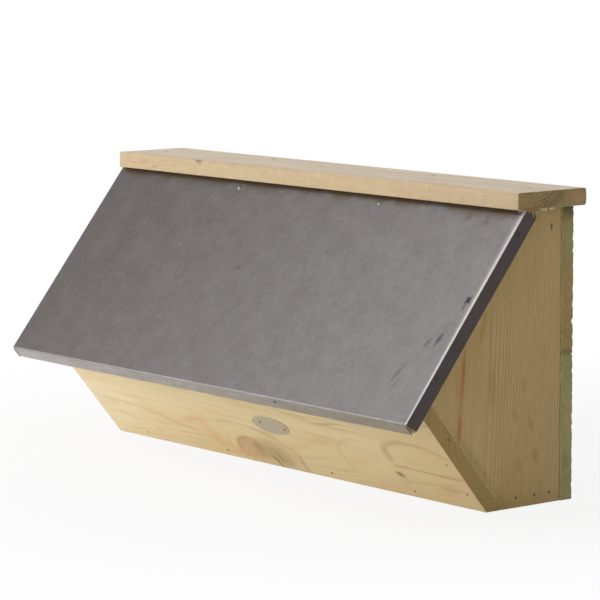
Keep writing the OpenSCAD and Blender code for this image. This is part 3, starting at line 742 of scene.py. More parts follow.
def folded_sheet(name, material):
    """The roof sheet: one surface of rows up the slope and over the eave, with rounded
    creases, open corners and slightly wavy folds, then given its thickness."""
    half = sheet_high.x
    bend, eave_bend = 1.2 * MM, 4 * MM
    # Across: (x, depth below the roof face, way out) from the left fold's edge to the right's.
    across = []
    for k in range(5):
        across.append((-half, -SIDE_FOLD + (SIDE_FOLD - bend) * k / 5))
    for k in range(6):
        a = math.radians(90 * k / 5)
        across.append((-half + bend * (1 - math.cos(a)), -bend * (1 - math.sin(a))))
    flat = 150
    for k in range(1, flat):
        across.append((-half + bend + (2 * half - 2 * bend) * k / flat, 0.0))
    across += [(-x, depth) for x, depth in reversed(across[:11])]
    # Over the eave: (up the slope, out from the roof face) round the crease and down the fold.
    down = -FRONT_UP  # the way that the front fold runs
    fold = []
    sweep = ROOF_OUT.angle(FRONT_OUT)
    reach = eave_bend * math.tan(sweep / 2)
    middle = crease + ROOF_UP * reach - ROOF_OUT * eave_bend
    for k in range(1, 7):
        turn = Matrix.Rotation(sweep * k / 6, 3, ALONG)
        fold.append(middle + (turn @ ROOF_OUT) * eave_bend)
    last = fold[-1]
    length = FRONT_FOLD - reach
    for k in range(1, 6):
        fold.append(last + down * length * k / 5)
    rows_up = [reach + (sheet_l - reach) * k / 60 for k in range(61)]

    mesh = bmesh.new()
    grid = {}
    first, end = 5, len(across) - 6
    for v in range(-len(fold), len(rows_up)):
        for u, (x, depth) in enumerate(across):
            if v >= 0:
                # Buckles of the sheet between its fixings, inwards only.
                ripple = noise.noise(Vector((x * 7, rows_up[v] * 9, 1.5)))
                ripple = min(0.0, ripple - 0.25) * 0.3 * MM
                inside = 1.0 if depth == 0.0 else 0.0
                up = rows_up[v]
                if depth < 0 and v < 3:
                    # The side folds reach nearly to the eave, with a ragged cut.
                    cut = 0.5 * MM - 2.3 * MM * depth / SIDE_FOLD \
                        + 0.5 * MM * noise.noise(Vector((x, depth * 400, 9.5)))
                    up -= (reach - cut) * (1 - v / 3)
                spot = Vector((x, crease.y, crease.z)) + ROOF_UP * up \
                    + ROOF_OUT * (depth + ripple * inside)
                if depth < -2 * bend:
                    wave = noise.noise(Vector((rows_up[v] * 14, x, 4.5))) - 0.4
                    side = -1 if x > 0 else 1
                    spot.x += side * abs(min(0.0, wave)) * 0.5 * MM * (-depth / SIDE_FOLD)
            else:
                if u < first + 1 or u > end - 1:
                    continue
                limit = half - SHEET_T - CORNER_GAP
                place = max(-limit, min(limit, x))
                k = -v - 1
                spot = Vector((place, 0, 0)) + fold[k]
                low = max(0.0, (k - 5) / 5)
                wave = noise.noise(Vector((place * 16, 2.5, low)))
                wave += 0.6 * noise.noise(Vector((place * 55, 7.5, low)))
                spot -= FRONT_OUT * max(0.0, wave + 0.35) * 0.6 * MM * low
                spot += FRONT_UP * max(0.0, noise.noise(Vector((place * 30, 1.1, 0)))) \
                    * 0.4 * MM * low
            grid[u, v] = mesh.verts.new(spot)
    for (u, v) in list(grid):
        corners = [(u, v), (u + 1, v), (u + 1, v + 1), (u, v + 1)]
        if all(c in grid for c in corners):
            mesh.faces.new([grid[c] for c in corners])
    bmesh.ops.recalc_face_normals(mesh, faces=mesh.faces)
    top = max(mesh.faces, key=lambda f: f.calc_area())
    if top.normal.dot(ROOF_OUT) < 0:
        bmesh.ops.reverse_faces(mesh, faces=mesh.faces)
    data = bpy.data.meshes.new(name)
    mesh.to_mesh(data)
    data.polygons.foreach_set("use_smooth", [True] * len(data.polygons))
    made = make_object(name, data, material)
    thick = made.modifiers.new("thickness", "SOLIDIFY")
    thick.thickness = SHEET_T
    thick.offset = -1
    seen = made.evaluated_get(bpy.context.evaluated_depsgraph_get())
    made.data = bpy.data.meshes.new_from_object(seen)
    made.modifiers.clear()
    made.data.set_sharp_from_angle(angle=math.radians(40))
    return settle(made, ["roof_sheet"])


# ---------------------------------------------------------------- the blank plate

def oval_plate(name, material):
    """Blank oval plate with a rolled edge."""
    low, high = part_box("name_plate")
    centre = (low + high) / 2
    across = Matrix.Rotation(-PLATE_TURN, 3, FRONT_OUT) @ ALONG
    upward = FRONT_OUT.cross(across)
    back = centre - FRONT_OUT * ((centre - front_foot).dot(FRONT_OUT))
    mesh = bmesh.new()
    rows = [(0.0, PLATE_T), (0.25, PLATE_T), (0.5, PLATE_T), (0.75, PLATE_T),
            (0.93, PLATE_T), (0.965, 0.93 * PLATE_T), (0.985, 0.8 * PLATE_T),
            (1.0, 0.55 * PLATE_T), (1.0, 0.25 * PLATE_T), (0.985, 0.0), (0.0, 0.0)]
    rings = []
    for share, height in rows:
        count = 96 if share else 1
        ring = []
        for k in range(count):
            angle = 2 * math.pi * k / 96
            spot = back + across * (PLATE_SIZE[0] / 2 * share * math.cos(angle)) \
                + upward * (PLATE_SIZE[1] / 2 * share * math.sin(angle)) + FRONT_OUT * height
            ring.append(mesh.verts.new(spot))
        rings.append(ring)
    for ring, after in zip(rings, rings[1:]):
        for k in range(96):
            j = (k + 1) % 96
            if len(ring) == 1:
                mesh.faces.new((ring[0], after[k], after[j]))
            elif len(after) == 1:
                mesh.faces.new((ring[k], after[0], ring[j]))
            else:
                mesh.faces.new((ring[k], after[k], after[j], ring[j]))
    bmesh.ops.recalc_face_normals(mesh, faces=mesh.faces)
    data = bpy.data.meshes.new(name)
    mesh.to_mesh(data)
    data.polygons.foreach_set("use_smooth", [True] * len(data.polygons))
    data.set_sharp_from_angle(angle=math.radians(30))
    return settle(make_object(name, data, material), ["name_plate"])


# ---------------------------------------------------------------- torn fibres

def torn_fibres(name, material, clumps, seed):
    """Slivers of wood left hanging where a saw broke out of a board: flat, tapering strips
    that bend a little. A clump is the middle of its roots, half its width, the number of
    strips, the way that they hang, and their length and width."""
    draw = random.Random(seed)
    mesh = bmesh.new()
    for middle, half, count, way, length, width in clumps:
        for _ in range(count):
            root = middle + Vector((draw.uniform(-0.3, 0.3) * MM, draw.uniform(-half, half),
                                    draw.uniform(-0.3, 0.3) * MM))
            reach, wide = length * draw.uniform(0.5, 1.0), width * draw.uniform(0.6, 1.3)
            hang = (way + INTO_WALL * draw.uniform(-0.3, 0.3)).normalized()
            aside = hang.cross(ALONG).normalized()
            bow = aside * draw.uniform(-0.2, 0.2) * reach
            rows = []
            for k in range(5):
                share = k / 5
                spot = root + hang * reach * share + bow * share * share
                thin = wide * (1 - share ** 1.5) / 2
                rows.append([mesh.verts.new(spot + a) for a in (
                    aside * thin, ALONG * min(thin, 0.3 * MM), -aside * thin,
                    -ALONG * min(thin, 0.3 * MM))])
            tip = mesh.verts.new(root + hang * reach + bow)
            for row, after in zip(rows, rows[1:]):
                for i in range(4):
                    j = (i + 1) % 4
                    mesh.faces.new((row[i], row[j], after[j], after[i]))
            for i in range(4):
                mesh.faces.new((rows[-1][i], rows[-1][(i + 1) % 4], tip))
            mesh.faces.new(rows[0][::-1])
    bmesh.ops.recalc_face_normals(mesh, faces=mesh.faces)
    data = bpy.data.meshes.new(name)
    mesh.to_mesh(data)
    return settle(make_object(name, data, material), [])


# ================================================================ the scene

make_camera()

# Wood tones.
BUFF = {"early": "#C2AC86", "late": "#A88E62", "patch": "#C0A988", "end": "#AE9662",
        "end_late": "#2E2610", "end_patch": "#A68C5E", "knot": "#8A6A40",
        "stain": "#9A8A55"}
PALE = {"early": "#E9D6AA", "late": "#CBAE74", "patch": "#E2C590", "end": "#B8995E",
        "end_late": "#8A7444", "end_patch": "#AA9058", "knot": "#8F7247",
        "stain": "#9A8A55"}
KHAKI = {"early": "#CBB07A", "late": "#A07E48", "patch": "#BD9F62", "end": "#B6A068",
         "end_late": "#7F6C41", "end_patch": "#A39260", "knot": "#8A6A40",
         "stain": "#A89060"}
GREEN = {"early": "#C8BE8C", "late": "#A49A64", "patch": "#B4B27C", "end": "#B2A874",
         "end_late": "#7A7A4A", "end_patch": "#A09A6A", "knot": "#7A6A40",
         "stain": "#86946A"}
OLIVE = {"early": "#CBBD8A", "late": "#A8985F", "patch": "#B9AE76", "end": "#B49A60",
         "end_late": "#7E6C3A", "end_patch": "#A48E58", "knot": "#7A6A40",
         "stain": "#8E8E5E"}

# The lid: even and buff in front, paler and pinkish on top with a bruised front edge, and
# olive and brown on its end, where the saw has torn it along its rings.
lid_pine = pine("planed pine, weathered on top", ALONG, -INTO_WALL, (0, lid_low.y, lid_high.z),
                BUFF, heart=(-0.020, 0.047), ring=3.4 * MM, lines=0.25, thin=0.35, faint=0.45,
                fibre=0.04, specks=0.5, mottle=0.10, end_lines=1.5, top_tones=("#E7DAC2", "#D4BEA6"),
                spots=[((0.20, 0, 0.010), (0.30, 0.02, 0.05), 0, "#CFB28A", 0.5),
                       ((-0.33, 0, 0.010), (0.20, 0.02, 0.05), 0, "#B7A07C", 0.45),
                       ((-0.30, -0.02, 0.010), (0.10, 0.03, 0.008), 0, "#BE9C6C", 0.3),
                       ((-0.345, 0, 0.011), (0.014, 0.002, 0.0012), 0, "#A07A50", 0.6),
                       ((-0.15, 0, 0.0), (0.26, 0.0022, 0.0022), 0, "#B07A52", 0.6),
                       ((0.22, 0, 0.0), (0.16, 0.0016, 0.0016), 0, "#B98A60", 0.4),
                       ((-0.205, 0, 0.001), (0.010, 0.005, 0.004), 0, "#3E2E1A", 1.0),
                       ((-0.322, 0, 0.009), (0.014, 0.004, 0.004), 0, "#BC9258", 0.6),
                       ((-0.300, 0, 0.014), (0.010, 0.002, 0.002), 0, "#94744A", 0.6),
                       ((-0.248, 0, 0.007), (0.005, 0.002, 0.002), 0, "#8C6C44", 0.5),
                       ((-0.170, 0, 0.015), (0.016, 0.002, 0.003), 0, "#B89462", 0.5),
                       ((0.050, 0, 0.008), (0.030, 0.004, 0.005), 0, "#CFAE7C", 0.5),
                       ((0.180, 0, 0.012), (0.030, 0.004, 0.003), 0, "#B8976A", 0.4),
                       ((-0.20, -0.010, 0.0), (0.12, 0.006, 0.002), 0.03, "#D4A890", 0.5),
                       ((0.29, -0.060, 0.0), (0.10, 0.014, 0.002), 0.0, "#DABCAE", 0.35),
                       ((0.30, -0.020, 0.0), (0.09, 0.014, 0.002), 0.0, "#E8D6AE", 0.6)],
                end_rings=((-0.044, 0.011), (0.034, 0.013), 0.35),
                end_spots=[((-0.014, 0.014), (0.020, 0.009), 0, "#A68D5E", 0.6),
                           ((-0.054, 0.008), (0.018, 0.0055), 0.45, "#9A9264", 0.45),
                           ((-0.016, 0.0012), (0.010, 0.0010), 0.05, "#5C4C2C", 0.8),
                           ((-0.072, 0.016), (0.020, 0.005), 0.1, "#9E9662", 0.5),
                           ((-0.092, 0.011), (0.018, 0.012), 0, "#BC9A70", 0.8)])
front_pine = pine(
    "planed pale pine", ALONG, FRONT_UP, front_foot, PALE, heart=(0.062, 0.048),
    ring=6 * MM, tilt=-0.045, lines=0.5, thin=0.35, fibre=0.035, specks=0.2, wobble=6 * MM,
    knots=[((0.2325, 0.0375), (10.5 * MM, 6.5 * MM), -0.3, 12 * MM, 0.6),
           ((-0.030, 0.024), (40 * MM, 15 * MM), -0.45, 20 * MM, 0.0),
           ((0.290, 0.072), (26 * MM, 11 * MM), -0.05, 8 * MM, 0.0)],
    calm=[((-0.030, 0.022), (0.052, 0.026), -0.45, 0.8),
          ((-0.200, 0.095), (0.180, 0.060), 0.0, 0.7),
          ((0.190, 0.050), (0.090, 0.060), 0.0, 0.6)],
    spots=[((-0.33, 0.06), (0.24, 0.13), 0.0, "#F2E4C6", 0.5),
           ((0.33, 0.05), (0.13, 0.12), 0.0, "#D9B880", 0.4),
           # Thin lines of the left end, which fall a little to the right.
           ((-0.285, 0.0645), (0.090, 0.0024), -0.11, "#C0A672", 0.5),
           ((-0.290, 0.0385), (0.050, 0.0024), -0.20, "#C0A672", 0.5),
           ((-0.235, 0.0790), (0.100, 0.0022), -0.02, "#CBB27E", 0.5),
           ((-0.297, 0.0150), (0.030, 0.0022), 0.10, "#CBAC78", 0.5),
           ((-0.245, 0.0220), (0.012, 0.0100), 0.9, "#DCC482", 0.5),
           # Resin has drawn two broad, faint orange bands left of the large branch, which
           # part like the arms of a Y.
           ((-0.203, 0.0485), (0.070, 0.0060), -0.27, "#DDB482", 0.65),
           ((-0.150, 0.0575), (0.046, 0.0090), 0.30, "#E0B482", 0.65),
           ((-0.128, 0.0595), (0.018, 0.0080), 0.0, "#E0AE7C", 0.6),
           ((-0.164, 0.0405), (0.022, 0.0050), -0.20, "#DCAC78", 0.55),
           ((-0.160, 0.0465), (0.016, 0.0040), 0.10, "#E0D2A0", 0.5),
           ((-0.120, 0.0350), (0.034, 0.0200), -1.1, "#E0B686", 0.55),
           ((-0.085, 0.0150), (0.040, 0.0120), -0.25, "#DFB286", 0.5),
           # The branch, cut lengthwise: brown on the left round a paler part, a dark middle,
           # and greyer wood with dark lines on the right.
           ((-0.046, 0.0265), (0.044, 0.0290), 0.00, "#D0AF80", 1.5),
           ((-0.060, 0.0390), (0.020, 0.0080), 0.35, "#C4A276", 0.5),
           ((-0.054, 0.0270), (0.015, 0.0150), 0.30, "#DCBC92", 0.7),
           ((-0.031, 0.0320), (0.020, 0.0180), 0.00, "#AE8860", 0.9),
           ((-0.030, 0.0200), (0.014, 0.0090), 0.20, "#C89878", 0.6),
           ((-0.004, 0.0255), (0.045, 0.0340), -0.30, "#C8B284", 1.3),
           ((-0.014, 0.0120), (0.022, 0.0046), -1.15, "#8A7242", 0.85),
           ((-0.003, 0.0200), (0.018, 0.0038), -1.35, "#988150", 0.8),
           ((-0.010, 0.0320), (0.010, 0.0070), -0.80, "#AE9E72", 0.5),
           ((0.012, 0.0140), (0.012, 0.0090), -0.30, "#C0A682", 0.6),
           ((0.042, 0.0260), (0.026, 0.0032), 1.35, "#B8A26C", 0.5),
           # Resin at both ends of the line under the loop. The knot has a tail.
           ((0.290, 0.0510), (0.090, 0.0030), -0.02, "#B89A68", 0.7),
           ((0.245, 0.0525), (0.024, 0.0060), 0.10, "#D49E72", 0.6),
           ((0.330, 0.0505), (0.036, 0.0056), 0.02, "#D29C70", 0.6),
           ((0.233, 0.0680), (0.012, 0.0200), -0.2, "#BC9C66", 0.55),
           ((0.2300, 0.0380), (0.0080, 0.0055), -0.3, "#8A744C", 0.8),
           ((0.2370, 0.0310), (0.010, 0.0026), -0.95, "#AE9462", 0.5),
           ((0.310, 0.0280), (0.024, 0.0120), 0.0, "#BDA068", 0.4),
           ((0.144, 0.1035), (0.050, 0.0034), 0.15, "#BA966A", 0.6),
           ((0.118, 0.0680), (0.044, 0.0110), 0.05, "#D2A876", 0.45),
           ((0.090, 0.1080), (0.050, 0.0060), -0.12, "#B4A060", 0.45)],
    # Lines that bend round the loop, the knot and the branch.
    figure=[((0.291, 0.070), (0.060, 0.027), -0.05, 5 * MM, (-0.3, 1), "#B69868", 0.40),
            ((0.182, 0.050), (0.044, 0.034), 0.0, 4 * MM, (-0.9, 0.45), "#BCA06E", 0.22),
            ((0.300, 0.012), (0.080, 0.019), -0.02, 4 * MM, (0.2, 1), "#B69A68", 0.15),
            ((-0.060, 0.020), (0.100, 0.049), 0.0, 4 * MM, (0.75, 0.66), "#C0A474", 0.38),
            ((-0.020, 0.010), (0.068, 0.036), -0.30, 4 * MM, (0.9, 0.5), "#BCA06C", 0.25),
            # The edge of the branch.
            ((-0.044, 0.0245), (0.032, 0.0210), 0.0, 3 * MM, (-0.9, 0.6), "#AC8656", 0.5)],
    end_spots=[((0.103, -0.013), (0.009, 0.0013), 0.50, "#5E5230", 0.65),
               ((0.110, -0.0168), (0.012, 0.0012), 0.02, "#625430", 0.7),
               ((0.020, -0.010), (0.022, 0.010), 0, "#A29660", 0.4)])
SIDE_SPOTS = [((0.106, 0.087), (0.014, 0.0060), 0.3, "#A08450", 0.45),
              ((0.0, 0.09), (0.020, 0.09), 0.0, "#A5884C", 0.5),
              # Damp has left an olive stain behind the front board.
              ((0.060, 0.1480), (0.100, 0.0075), 0.686, "#A39148", 0.55),
              ((0.012, 0.1060), (0.020, 0.0120), 0.3, "#A09048", 0.5),
              # Painted shade under the lid: a darker band along the top of the panel.
              ((0.337, 0.06), (0.012, 0.08), 0.0, "#8C7440", 0.7),
              ((0.3120, 0.033), (0.0075, 0.0014), 0.0, "#3A2C16", 1.0)]
side_pine = pine("planed pine, vertical grain", UP, -INTO_WALL, (0.350, 0, 0), KHAKI,
                 heart=(0.145, 0.030), swing=0.05, ring=3.7 * MM, lines=0.62, thin=0.45,
                 uneven=0.3, faint=0.45, fibre=0.05, wobble=0.6 * MM, mottle=0.08,
                 calm=[((0.15, 0.180), (0.40, 0.075), 0.0, 0.8)],
                 spots=[((0.135, 0.1670), (0.080, 0.0068), -0.082, "#B98858", 0.65),
                        ((0.163, 0.1635), (0.040, 0.0036), -0.082, "#BE6830", 0.9),
                        ((0.098, 0.1695), (0.026, 0.0048), -0.082, "#B86C3C", 0.8),
                        ((0.140, 0.1745), (0.040, 0.0020), 0.02, "#B88050", 0.5),
                        ((0.205, 0.136), (0.034, 0.0060), -0.25, "#BE8444", 0.6),
                        ((0.140, 0.122), (0.040, 0.0090), 0.0, "#A88A58", 0.45),
                        ((0.057, 0.056), (0.014, 0.0080), 0.2, "#9C8050", 0.5),
                        ((0.048, 0.080), (0.012, 0.0080), 0.3, "#A08658", 0.45),
                        ((0.092, 0.062), (0.012, 0.0050), 0.4, "#A27A48", 0.5),
                        ((0.138, 0.074), (0.016, 0.0060), 0.1, "#A68450", 0.4)] + SIDE_SPOTS)
left_side_pine = pine("planed pine, vertical grain, left", UP, -INTO_WALL, (-0.350, 0, 0),
                      KHAKI, heart=(0.230, -0.050), ring=4.0 * MM, lines=0.55, thin=0.4, uneven=0.6,
                      fibre=0.06, wobble=1.5 * MM, mottle=0.08,
                      spots=[((0.210, 0.100), (0.050, 0.0050), 0.05, "#BE8A50", 0.5),
                             ((0.060, 0.050), (0.020, 0.0080), 0.1, "#A08450", 0.4)]
                      + SIDE_SPOTS)
lower_pine = pine("rough pine, treated green", ALONG, UP, (0, 0, 0), GREEN,
                  heart=(0.06, -0.05), end_lines=0.5, stains=0.5, mottle=0.14,
                  end_spots=[((0.150, 0.009), (0.030, 0.012), 0, "#A09868", 0.7),
                             ((0.090, 0.005), (0.050, 0.012), 0.2, "#BCA874", 0.6),
                             ((0.045, 0.012), (0.016, 0.010), 0, "#8E8C5C", 0.6),
                             ((0.020, 0.006), (0.016, 0.012), 0, "#A09E70", 0.7)])
upper_pine = pine("rough pine, treated olive", ALONG, UP, (0, 0, 0.1665), OLIVE,
                  heart=(0.11, 0.06), end_lines=0.45, stains=0.4, mottle=0.14,
                  end_spots=[((0.130, 0.006), (0.040, 0.014), 0, "#A0A06C", 0.8),
                             # Painted shade under the lid's overhang, on green-stained end grain: a dark green patch
                             # at the top of the end.
                             ((0.172, 0.006), (0.026, 0.060), 0, "#3C4420", 0.9),
                             ((0.016, 0.002), (0.026, 0.010), 0, "#98945A", 0.8),
                             ((0.004, 0.010), (0.006, 0.020), 0, "#7A6C40", 0.7),
                             ((0.075, 0.009), (0.045, 0.014), 0, "#B0945C", 0.6)])
roof_pine = pine("planed pine under the sheet", ALONG, ROOF_UP, crease, KHAKI,
                 heart=(0.08, 0.06),
                 # The dark end spots are painted shade: behind the torn strips under the lid, and in the gap at the
                 # eave corner. The pale one is a torn sliver.
                 end_spots=[((0.285, -0.012), (0.014, 0.016), 0, "#4A3A1C", 0.95),
                            ((0.002, -0.006), (0.006, 0.008), 0, "#4A3F22", 0.8),
                            ((0.004, -0.017), (0.007, 0.006), 0, "#E0D290", 0.9)])
inner_pine = pine("planed pine, level", ALONG, -INTO_WALL, (0, 0, 0), KHAKI,
                  heart=(0.05, 0.07))
partition_pine = pine("planed pine, partitions", UP, -INTO_WALL, (0, 0, 0), KHAKI,
                      heart=(0.08, 0.05))
torn_pine = pine("torn pine fibres", UP, -INTO_WALL, (0, 0, 0),
                 {**KHAKI, "early": "#DFD09A", "late": "#A8925A", "patch": "#CDBB80",
                  "end": "#D2C088", "end_late": "#A8945A", "end_patch": "#BFAB70"},
                 heart=(0.05, 0.07), ring=2.5 * MM, lines=0.9, rough=0.7)
sheet_metal = zinc_sheet("zinc-coated steel, weathered")
plate_metal = bare_metal("matte aluminium", "#BBAE95", 0.5, 900.0, 0.5, 0.4, "#A09482")
yellow_steel = bare_metal("yellow-passivated steel, dulled", "#B39F78", 0.5, 1500.0, 0.5,
                          0.5, "#9A8660")
# The fold screws are painted dark with shade, like the folded sides that they hold.
fold_steel = bare_metal("zinc-plated steel, shaded dark", "#4E4743", 0.4, 1500.0, 0.5,
                        worn="#2E2A28")
bright_steel = bare_metal("zinc-plated steel", "#9B9792", 0.2, 1500.0, 0.4)
worn_steel = bare_metal("zinc-plated steel, dulled", "#827A70", 0.4, 1500.0, 0.5,
                        worn="#5E5850")
dull_steel = bare_metal("dull steel wire", "#4A443D", 0.5, 1800.0, 0.6, 0.7, "#2E2A26")

# Heads are drawn a little under their full size, because the wood has closed over their rims.
NAIL = nail_profile(1.45 * MM, 1 * MM, 0.9 * MM, 45 * MM)
PIN = nail_profile(1.5 * MM, 0.6 * MM, 0.7 * MM, 12 * MM)
PAN = pan_head_profile(2.8 * MM, 1.8 * MM, 1.4 * MM, 16 * MM)
RIGHT, LEFT = ALONG, -ALONG

nails = {}
for node, way_out in (("front_floor_nails", -INTO_WALL),
                      ("front_corner_nails_left", FRONT_OUT),
                      ("front_corner_nails_right", FRONT_OUT),
                      ("side_nails_left", LEFT), ("side_nails_right", RIGHT),
                      ("back_nails", INTO_WALL)):
    fixings(node, "driven_" + node, way_out, NAIL, dull_steel)
    nails[node] = [(p, way_out, 1.55 * MM, 1.2 * MM) for p in head_places(node, way_out)]
fixings("plate_nails", "driven_plate_nails", FRONT_OUT, PIN, worn_steel)
fixings("front_fold_nail", "driven_front_fold_nail", FRONT_OUT, PIN, dull_steel)
CROSS = (1.5 * MM, 0.42 * MM, 1.0 * MM)
fixings("roof_screws", "driven_roof_screws", ROOF_OUT, PAN, bright_steel,
        CROSS, 48, tip=9)
fixings("fold_screws_left", "driven_fold_screws_left", LEFT, PAN, fold_steel,
        CROSS, 48)
fixings("fold_screws_right", "driven_fold_screws_right", RIGHT, PAN, fold_steel,
        CROSS, 48)
lid_screw_profile = [(0, 0), (1 * MM, 0), (2 * MM, 0), (3 * MM, 0), (3.9 * MM, 0),
                     (4 * MM, -0.1 * MM), (2 * MM, -2 * MM), (2 * MM, -46 * MM),
                     (0, -50 * MM)]
fixings("lid_screws", "driven_lid_screws", UP, lid_screw_profile, yellow_steel,
        (2.2 * MM, 0.6 * MM, 1.4 * MM), 48)


def lid_chips(spot, out, corner):
    """A gash and a wavy line along the lid's top front edge, and a ragged corner where the
    saw came out at the right end."""
    to_front = spot.y - lid_low.y
    if to_front < 4 * MM and spot.z > lid_high.z - 5 * MM:
        near = 1.6 * max(0.0, 1 - abs(spot.x + 0.205) / (7 * MM))
        wave = max(0.0, noise.noise(Vector((spot.x * 22, 5.5, 0)))) * 0.9 * MM
        spot.z -= 1.6 * MM * near + wave
        spot.y += 1.6 * MM * near + wave * 0.3
    if to_front < 2.5 * MM and spot.x > lid_high.x - 2.5 * MM:
        bite = max(0.0, noise.noise(Vector((3.5, 1.5, spot.z * 520))) + 0.3) * 2.4 * MM
        spot.x -= bite
        spot.y += bite * 0.5
    return spot


def back_chips(spot, out, corner):
    """Bites of a coarse saw down the back edge of the right end, and one deep notch."""
    if spot.y > -3 * MM and spot.x > back_end - 6 * MM:
        share = 1 - max(0.0, back_end - spot.x) / (6 * MM)
        bite = max(0.0, noise.noise(Vector((spot.z * 230, 2.5, 8.5))) + 0.05) * 1.1 * MM
        notch = max(0.0, 1 - abs(spot.z - 0.2035) / (4.5 * MM)) * 2.8 * MM
        joint = max(0.0, 1 - abs(spot.z - 0.1665) / (2.5 * MM)) * 1.6 * MM
        spot.y -= (bite + notch + joint) * share
    return spot


back_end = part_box("back_board_upper")[1].x
screw_holes = [(p, UP, 4.05 * MM, 0.6 * MM) for p in head_places("lid_screws", UP)]
lid_middle = (lid_low.y + lid_high.y) / 2
board("lid_board", "planed_lid", lid_pine, pitch=1.6 * MM, step=4 * MM,
      chips=lid_chips, holes=screw_holes,
      rounder=lambda c: 3.6 * MM if c.x > lid_middle else 1.1 * MM)
# The wood has closed over the nails of the left corner.
front_nails = nails["front_floor_nails"] + nails["front_corner_nails_right"]
board("front_board", "planed_front", front_pine, holes=front_nails)
board("side_panel_left", "planed_side_left", left_side_pine,
      holes=nails["side_nails_left"])
board("side_panel_right", "planed_side_right", side_pine,
      holes=nails["side_nails_right"])
lower_nails = [h for h in nails["back_nails"] if h[0].z < 0.1665]
upper_nails = [h for h in nails["back_nails"] if h[0].z >= 0.1665]
board("back_board_lower", "sawn_back_lower", lower_pine, ease=1.1 * MM,
      wear=1.2 * MM, pitch=1.5 * MM, step=8 * MM, chips=back_chips, holes=lower_nails)
board("back_board_upper", "sawn_back_upper", upper_pine, ease=1.1 * MM,
      wear=1.2 * MM, pitch=1.5 * MM, step=8 * MM, chips=back_chips, holes=upper_nails)
# The lower roof board's front is planed round, to sit inside the sheet's fold.
roof_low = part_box("roof_board_lower")[0]
board("roof_board_lower", "sawn_roof_board_lower", roof_pine,
      rounder=lambda c: 7 * MM if c.y < roof_low.z + 1 * MM
      else 3.4 * MM if c.x < roof_low.y + 1 * MM else 1.1 * MM)
board("roof_board_upper", "sawn_roof_board_upper", roof_pine)

folded_sheet("folded_roof_sheet", sheet_metal)
oval_plate("stamped_name_plate", plate_metal)

for node, finish in (("floor_board", inner_pine), ("hanging_rail", inner_pine),
                     ("partition_left", partition_pine),
                     ("partition_right", partition_pine)):
    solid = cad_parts[node]
    solid.data.materials.clear()
    solid.data.materials.append(finish)

# Tufts hang under the right end of the lid: a few at its front corner, a fringe, and two
# pale clumps near the middle of the end.
DOWN = Vector((0.05, 0.1, -1))
lid_edge = [Vector((lid_high.x - 0.8 * MM, y, lid_low.z + 0.6 * MM))
            for y in (-0.104, -0.088, -0.078, -0.0675, -0.057)]
torn_fibres("torn_lid_edge", torn_pine, [
    (lid_edge[0], 2.5 * MM, 5, DOWN, 3.6 * MM, 2.0 * MM),
    (lid_edge[1], 12 * MM, 14, DOWN, 2.4 * MM, 2.0 * MM),
    (lid_edge[2], 7 * MM, 12, Vector((0.05, -0.6, -1)), 5.0 * MM, 2.2 * MM),
    (lid_edge[3], 3.5 * MM, 10, DOWN, 5.0 * MM, 3.0 * MM),
    (lid_edge[4], 3.5 * MM, 8, DOWN, 4.2 * MM, 2.6 * MM)], 11)
# Strips torn down the right end of the upper roof board, between the fold and the panel.
roof_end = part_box("roof_board_upper")[1].x + 0.35 * MM
torn_fibres("torn_roof_board_end", torn_pine, [
    (Vector((roof_end, y, 0.336)), 0.8 * MM, 2,
     Vector((0, -0.0846 - y, -0.0115)).normalized(), 13 * MM, 1.2 * MM)
    for y in (-0.0905, -0.087, -0.0835, -0.080)], 12)

# ---------------------------------------------------------------- floor, lamps and sky


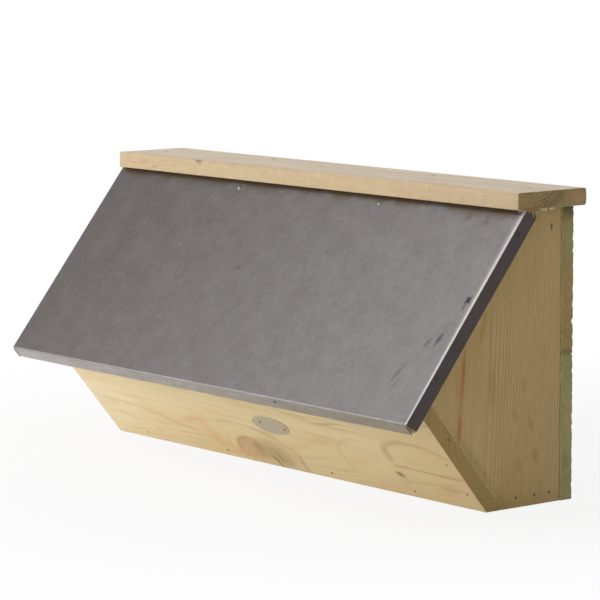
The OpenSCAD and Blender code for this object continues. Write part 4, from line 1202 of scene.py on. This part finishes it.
def make_floor():
    """Plain pale floor, seen from above only."""
    material, tree = new_material("matte white paper")
    path = add(tree, "LightPath", {}, out="Is Camera Ray")
    glossy = add(tree, "LightPath", {}, out="Is Glossy Ray")
    through = add(tree, "LightPath", {}, out="Is Transmission Ray")
    shown = add(tree, "Math", {0: path, 1: glossy}, operation="MAXIMUM")
    shown = add(tree, "Math", {0: shown, 1: through}, operation="MAXIMUM")
    place = add(tree, "TexCoord", {}, out="Object")
    far = add(tree, "VectorMath", {0: place}, out="Value", operation="LENGTH")
    grain = add(tree, "TexNoise", {"Vector": place, "Scale": 60.0, "Detail": 4.0})
    paper = add(tree, "Mix", {"Factor": grain, "A": linear("#E6E6E6"),
                              "B": linear("#E9E9E9")}, data_type="RGBA")
    plain = add(tree, "BsdfDiffuse", {"Color": paper})
    white = add(tree, "Emission", {"Color": (1, 1, 1, 1), "Strength": 1.0})
    share = add(tree, "MapRange", {"Value": far, "From Min": 0.4, "From Max": 1.0,
                                   "To Min": 0.87, "To Max": 1.0},
                interpolation_type="SMOOTHSTEP")
    share = add(tree, "Math", {0: share, 1: shown}, operation="MULTIPLY")
    lit = add(tree, "MixShader", {0: share, 1: plain, 2: white})
    clear = add(tree, "BsdfTransparent", {})
    behind = add(tree, "NewGeometry", {}, out="Backfacing")
    both = add(tree, "MixShader", {0: behind, 1: lit, 2: clear})
    add(tree, "OutputMaterial", {"Surface": both})
    mesh = bmesh.new()
    bmesh.ops.create_circle(mesh, cap_ends=True, segments=64, radius=60)
    for vert in mesh.verts:
        vert.co.z = -0.4 * MM
    data = bpy.data.meshes.new("floor")
    mesh.to_mesh(data)
    floor = make_object("floor", data, material)


def make_sky():
    """Soft light from all round, weaker from the right. What the camera sees is white."""
    world = bpy.data.worlds.new("studio")
    bpy.context.scene.world = world
    world.use_nodes = True
    tree = world.node_tree
    tree.nodes.clear()
    way = add(tree, "TexCoord", {}, out="Generated")
    right = add(tree, "VectorMath", {0: way, 1: (0.8, 0.45, -0.3)}, out="Value",
                operation="DOT_PRODUCT")
    level = add(tree, "MapRange", {"Value": right, "From Min": -0.6, "From Max": 0.8,
                                   "To Min": 0.7, "To Max": 0.28})
    camera_ray = add(tree, "LightPath", {}, out="Is Camera Ray")
    glossy = add(tree, "LightPath", {}, out="Is Glossy Ray")
    through = add(tree, "LightPath", {}, out="Is Transmission Ray")
    shown = add(tree, "Math", {0: camera_ray, 1: glossy}, operation="MAXIMUM")
    shown = add(tree, "Math", {0: shown, 1: through}, operation="MAXIMUM")
    strength = add(tree, "Mix", {"Factor": shown, "A": level, "B": 1.0})
    light = add(tree, "Background", {"Color": (1, 1, 1, 1), "Strength": strength})
    add(tree, "OutputWorld", {"Surface": light})


make_floor()
make_sky()
lamp("high softbox", (-1.1, -1.5, 2.0), (0, -0.15, 0.2), 1.2, 13.5)
lamp("low softbox", (-1.25, -1.6, 0.3), (0, -0.2, 0.1), 0.9, 21)

bpy.context.scene.view_settings.view_transform = "Standard"
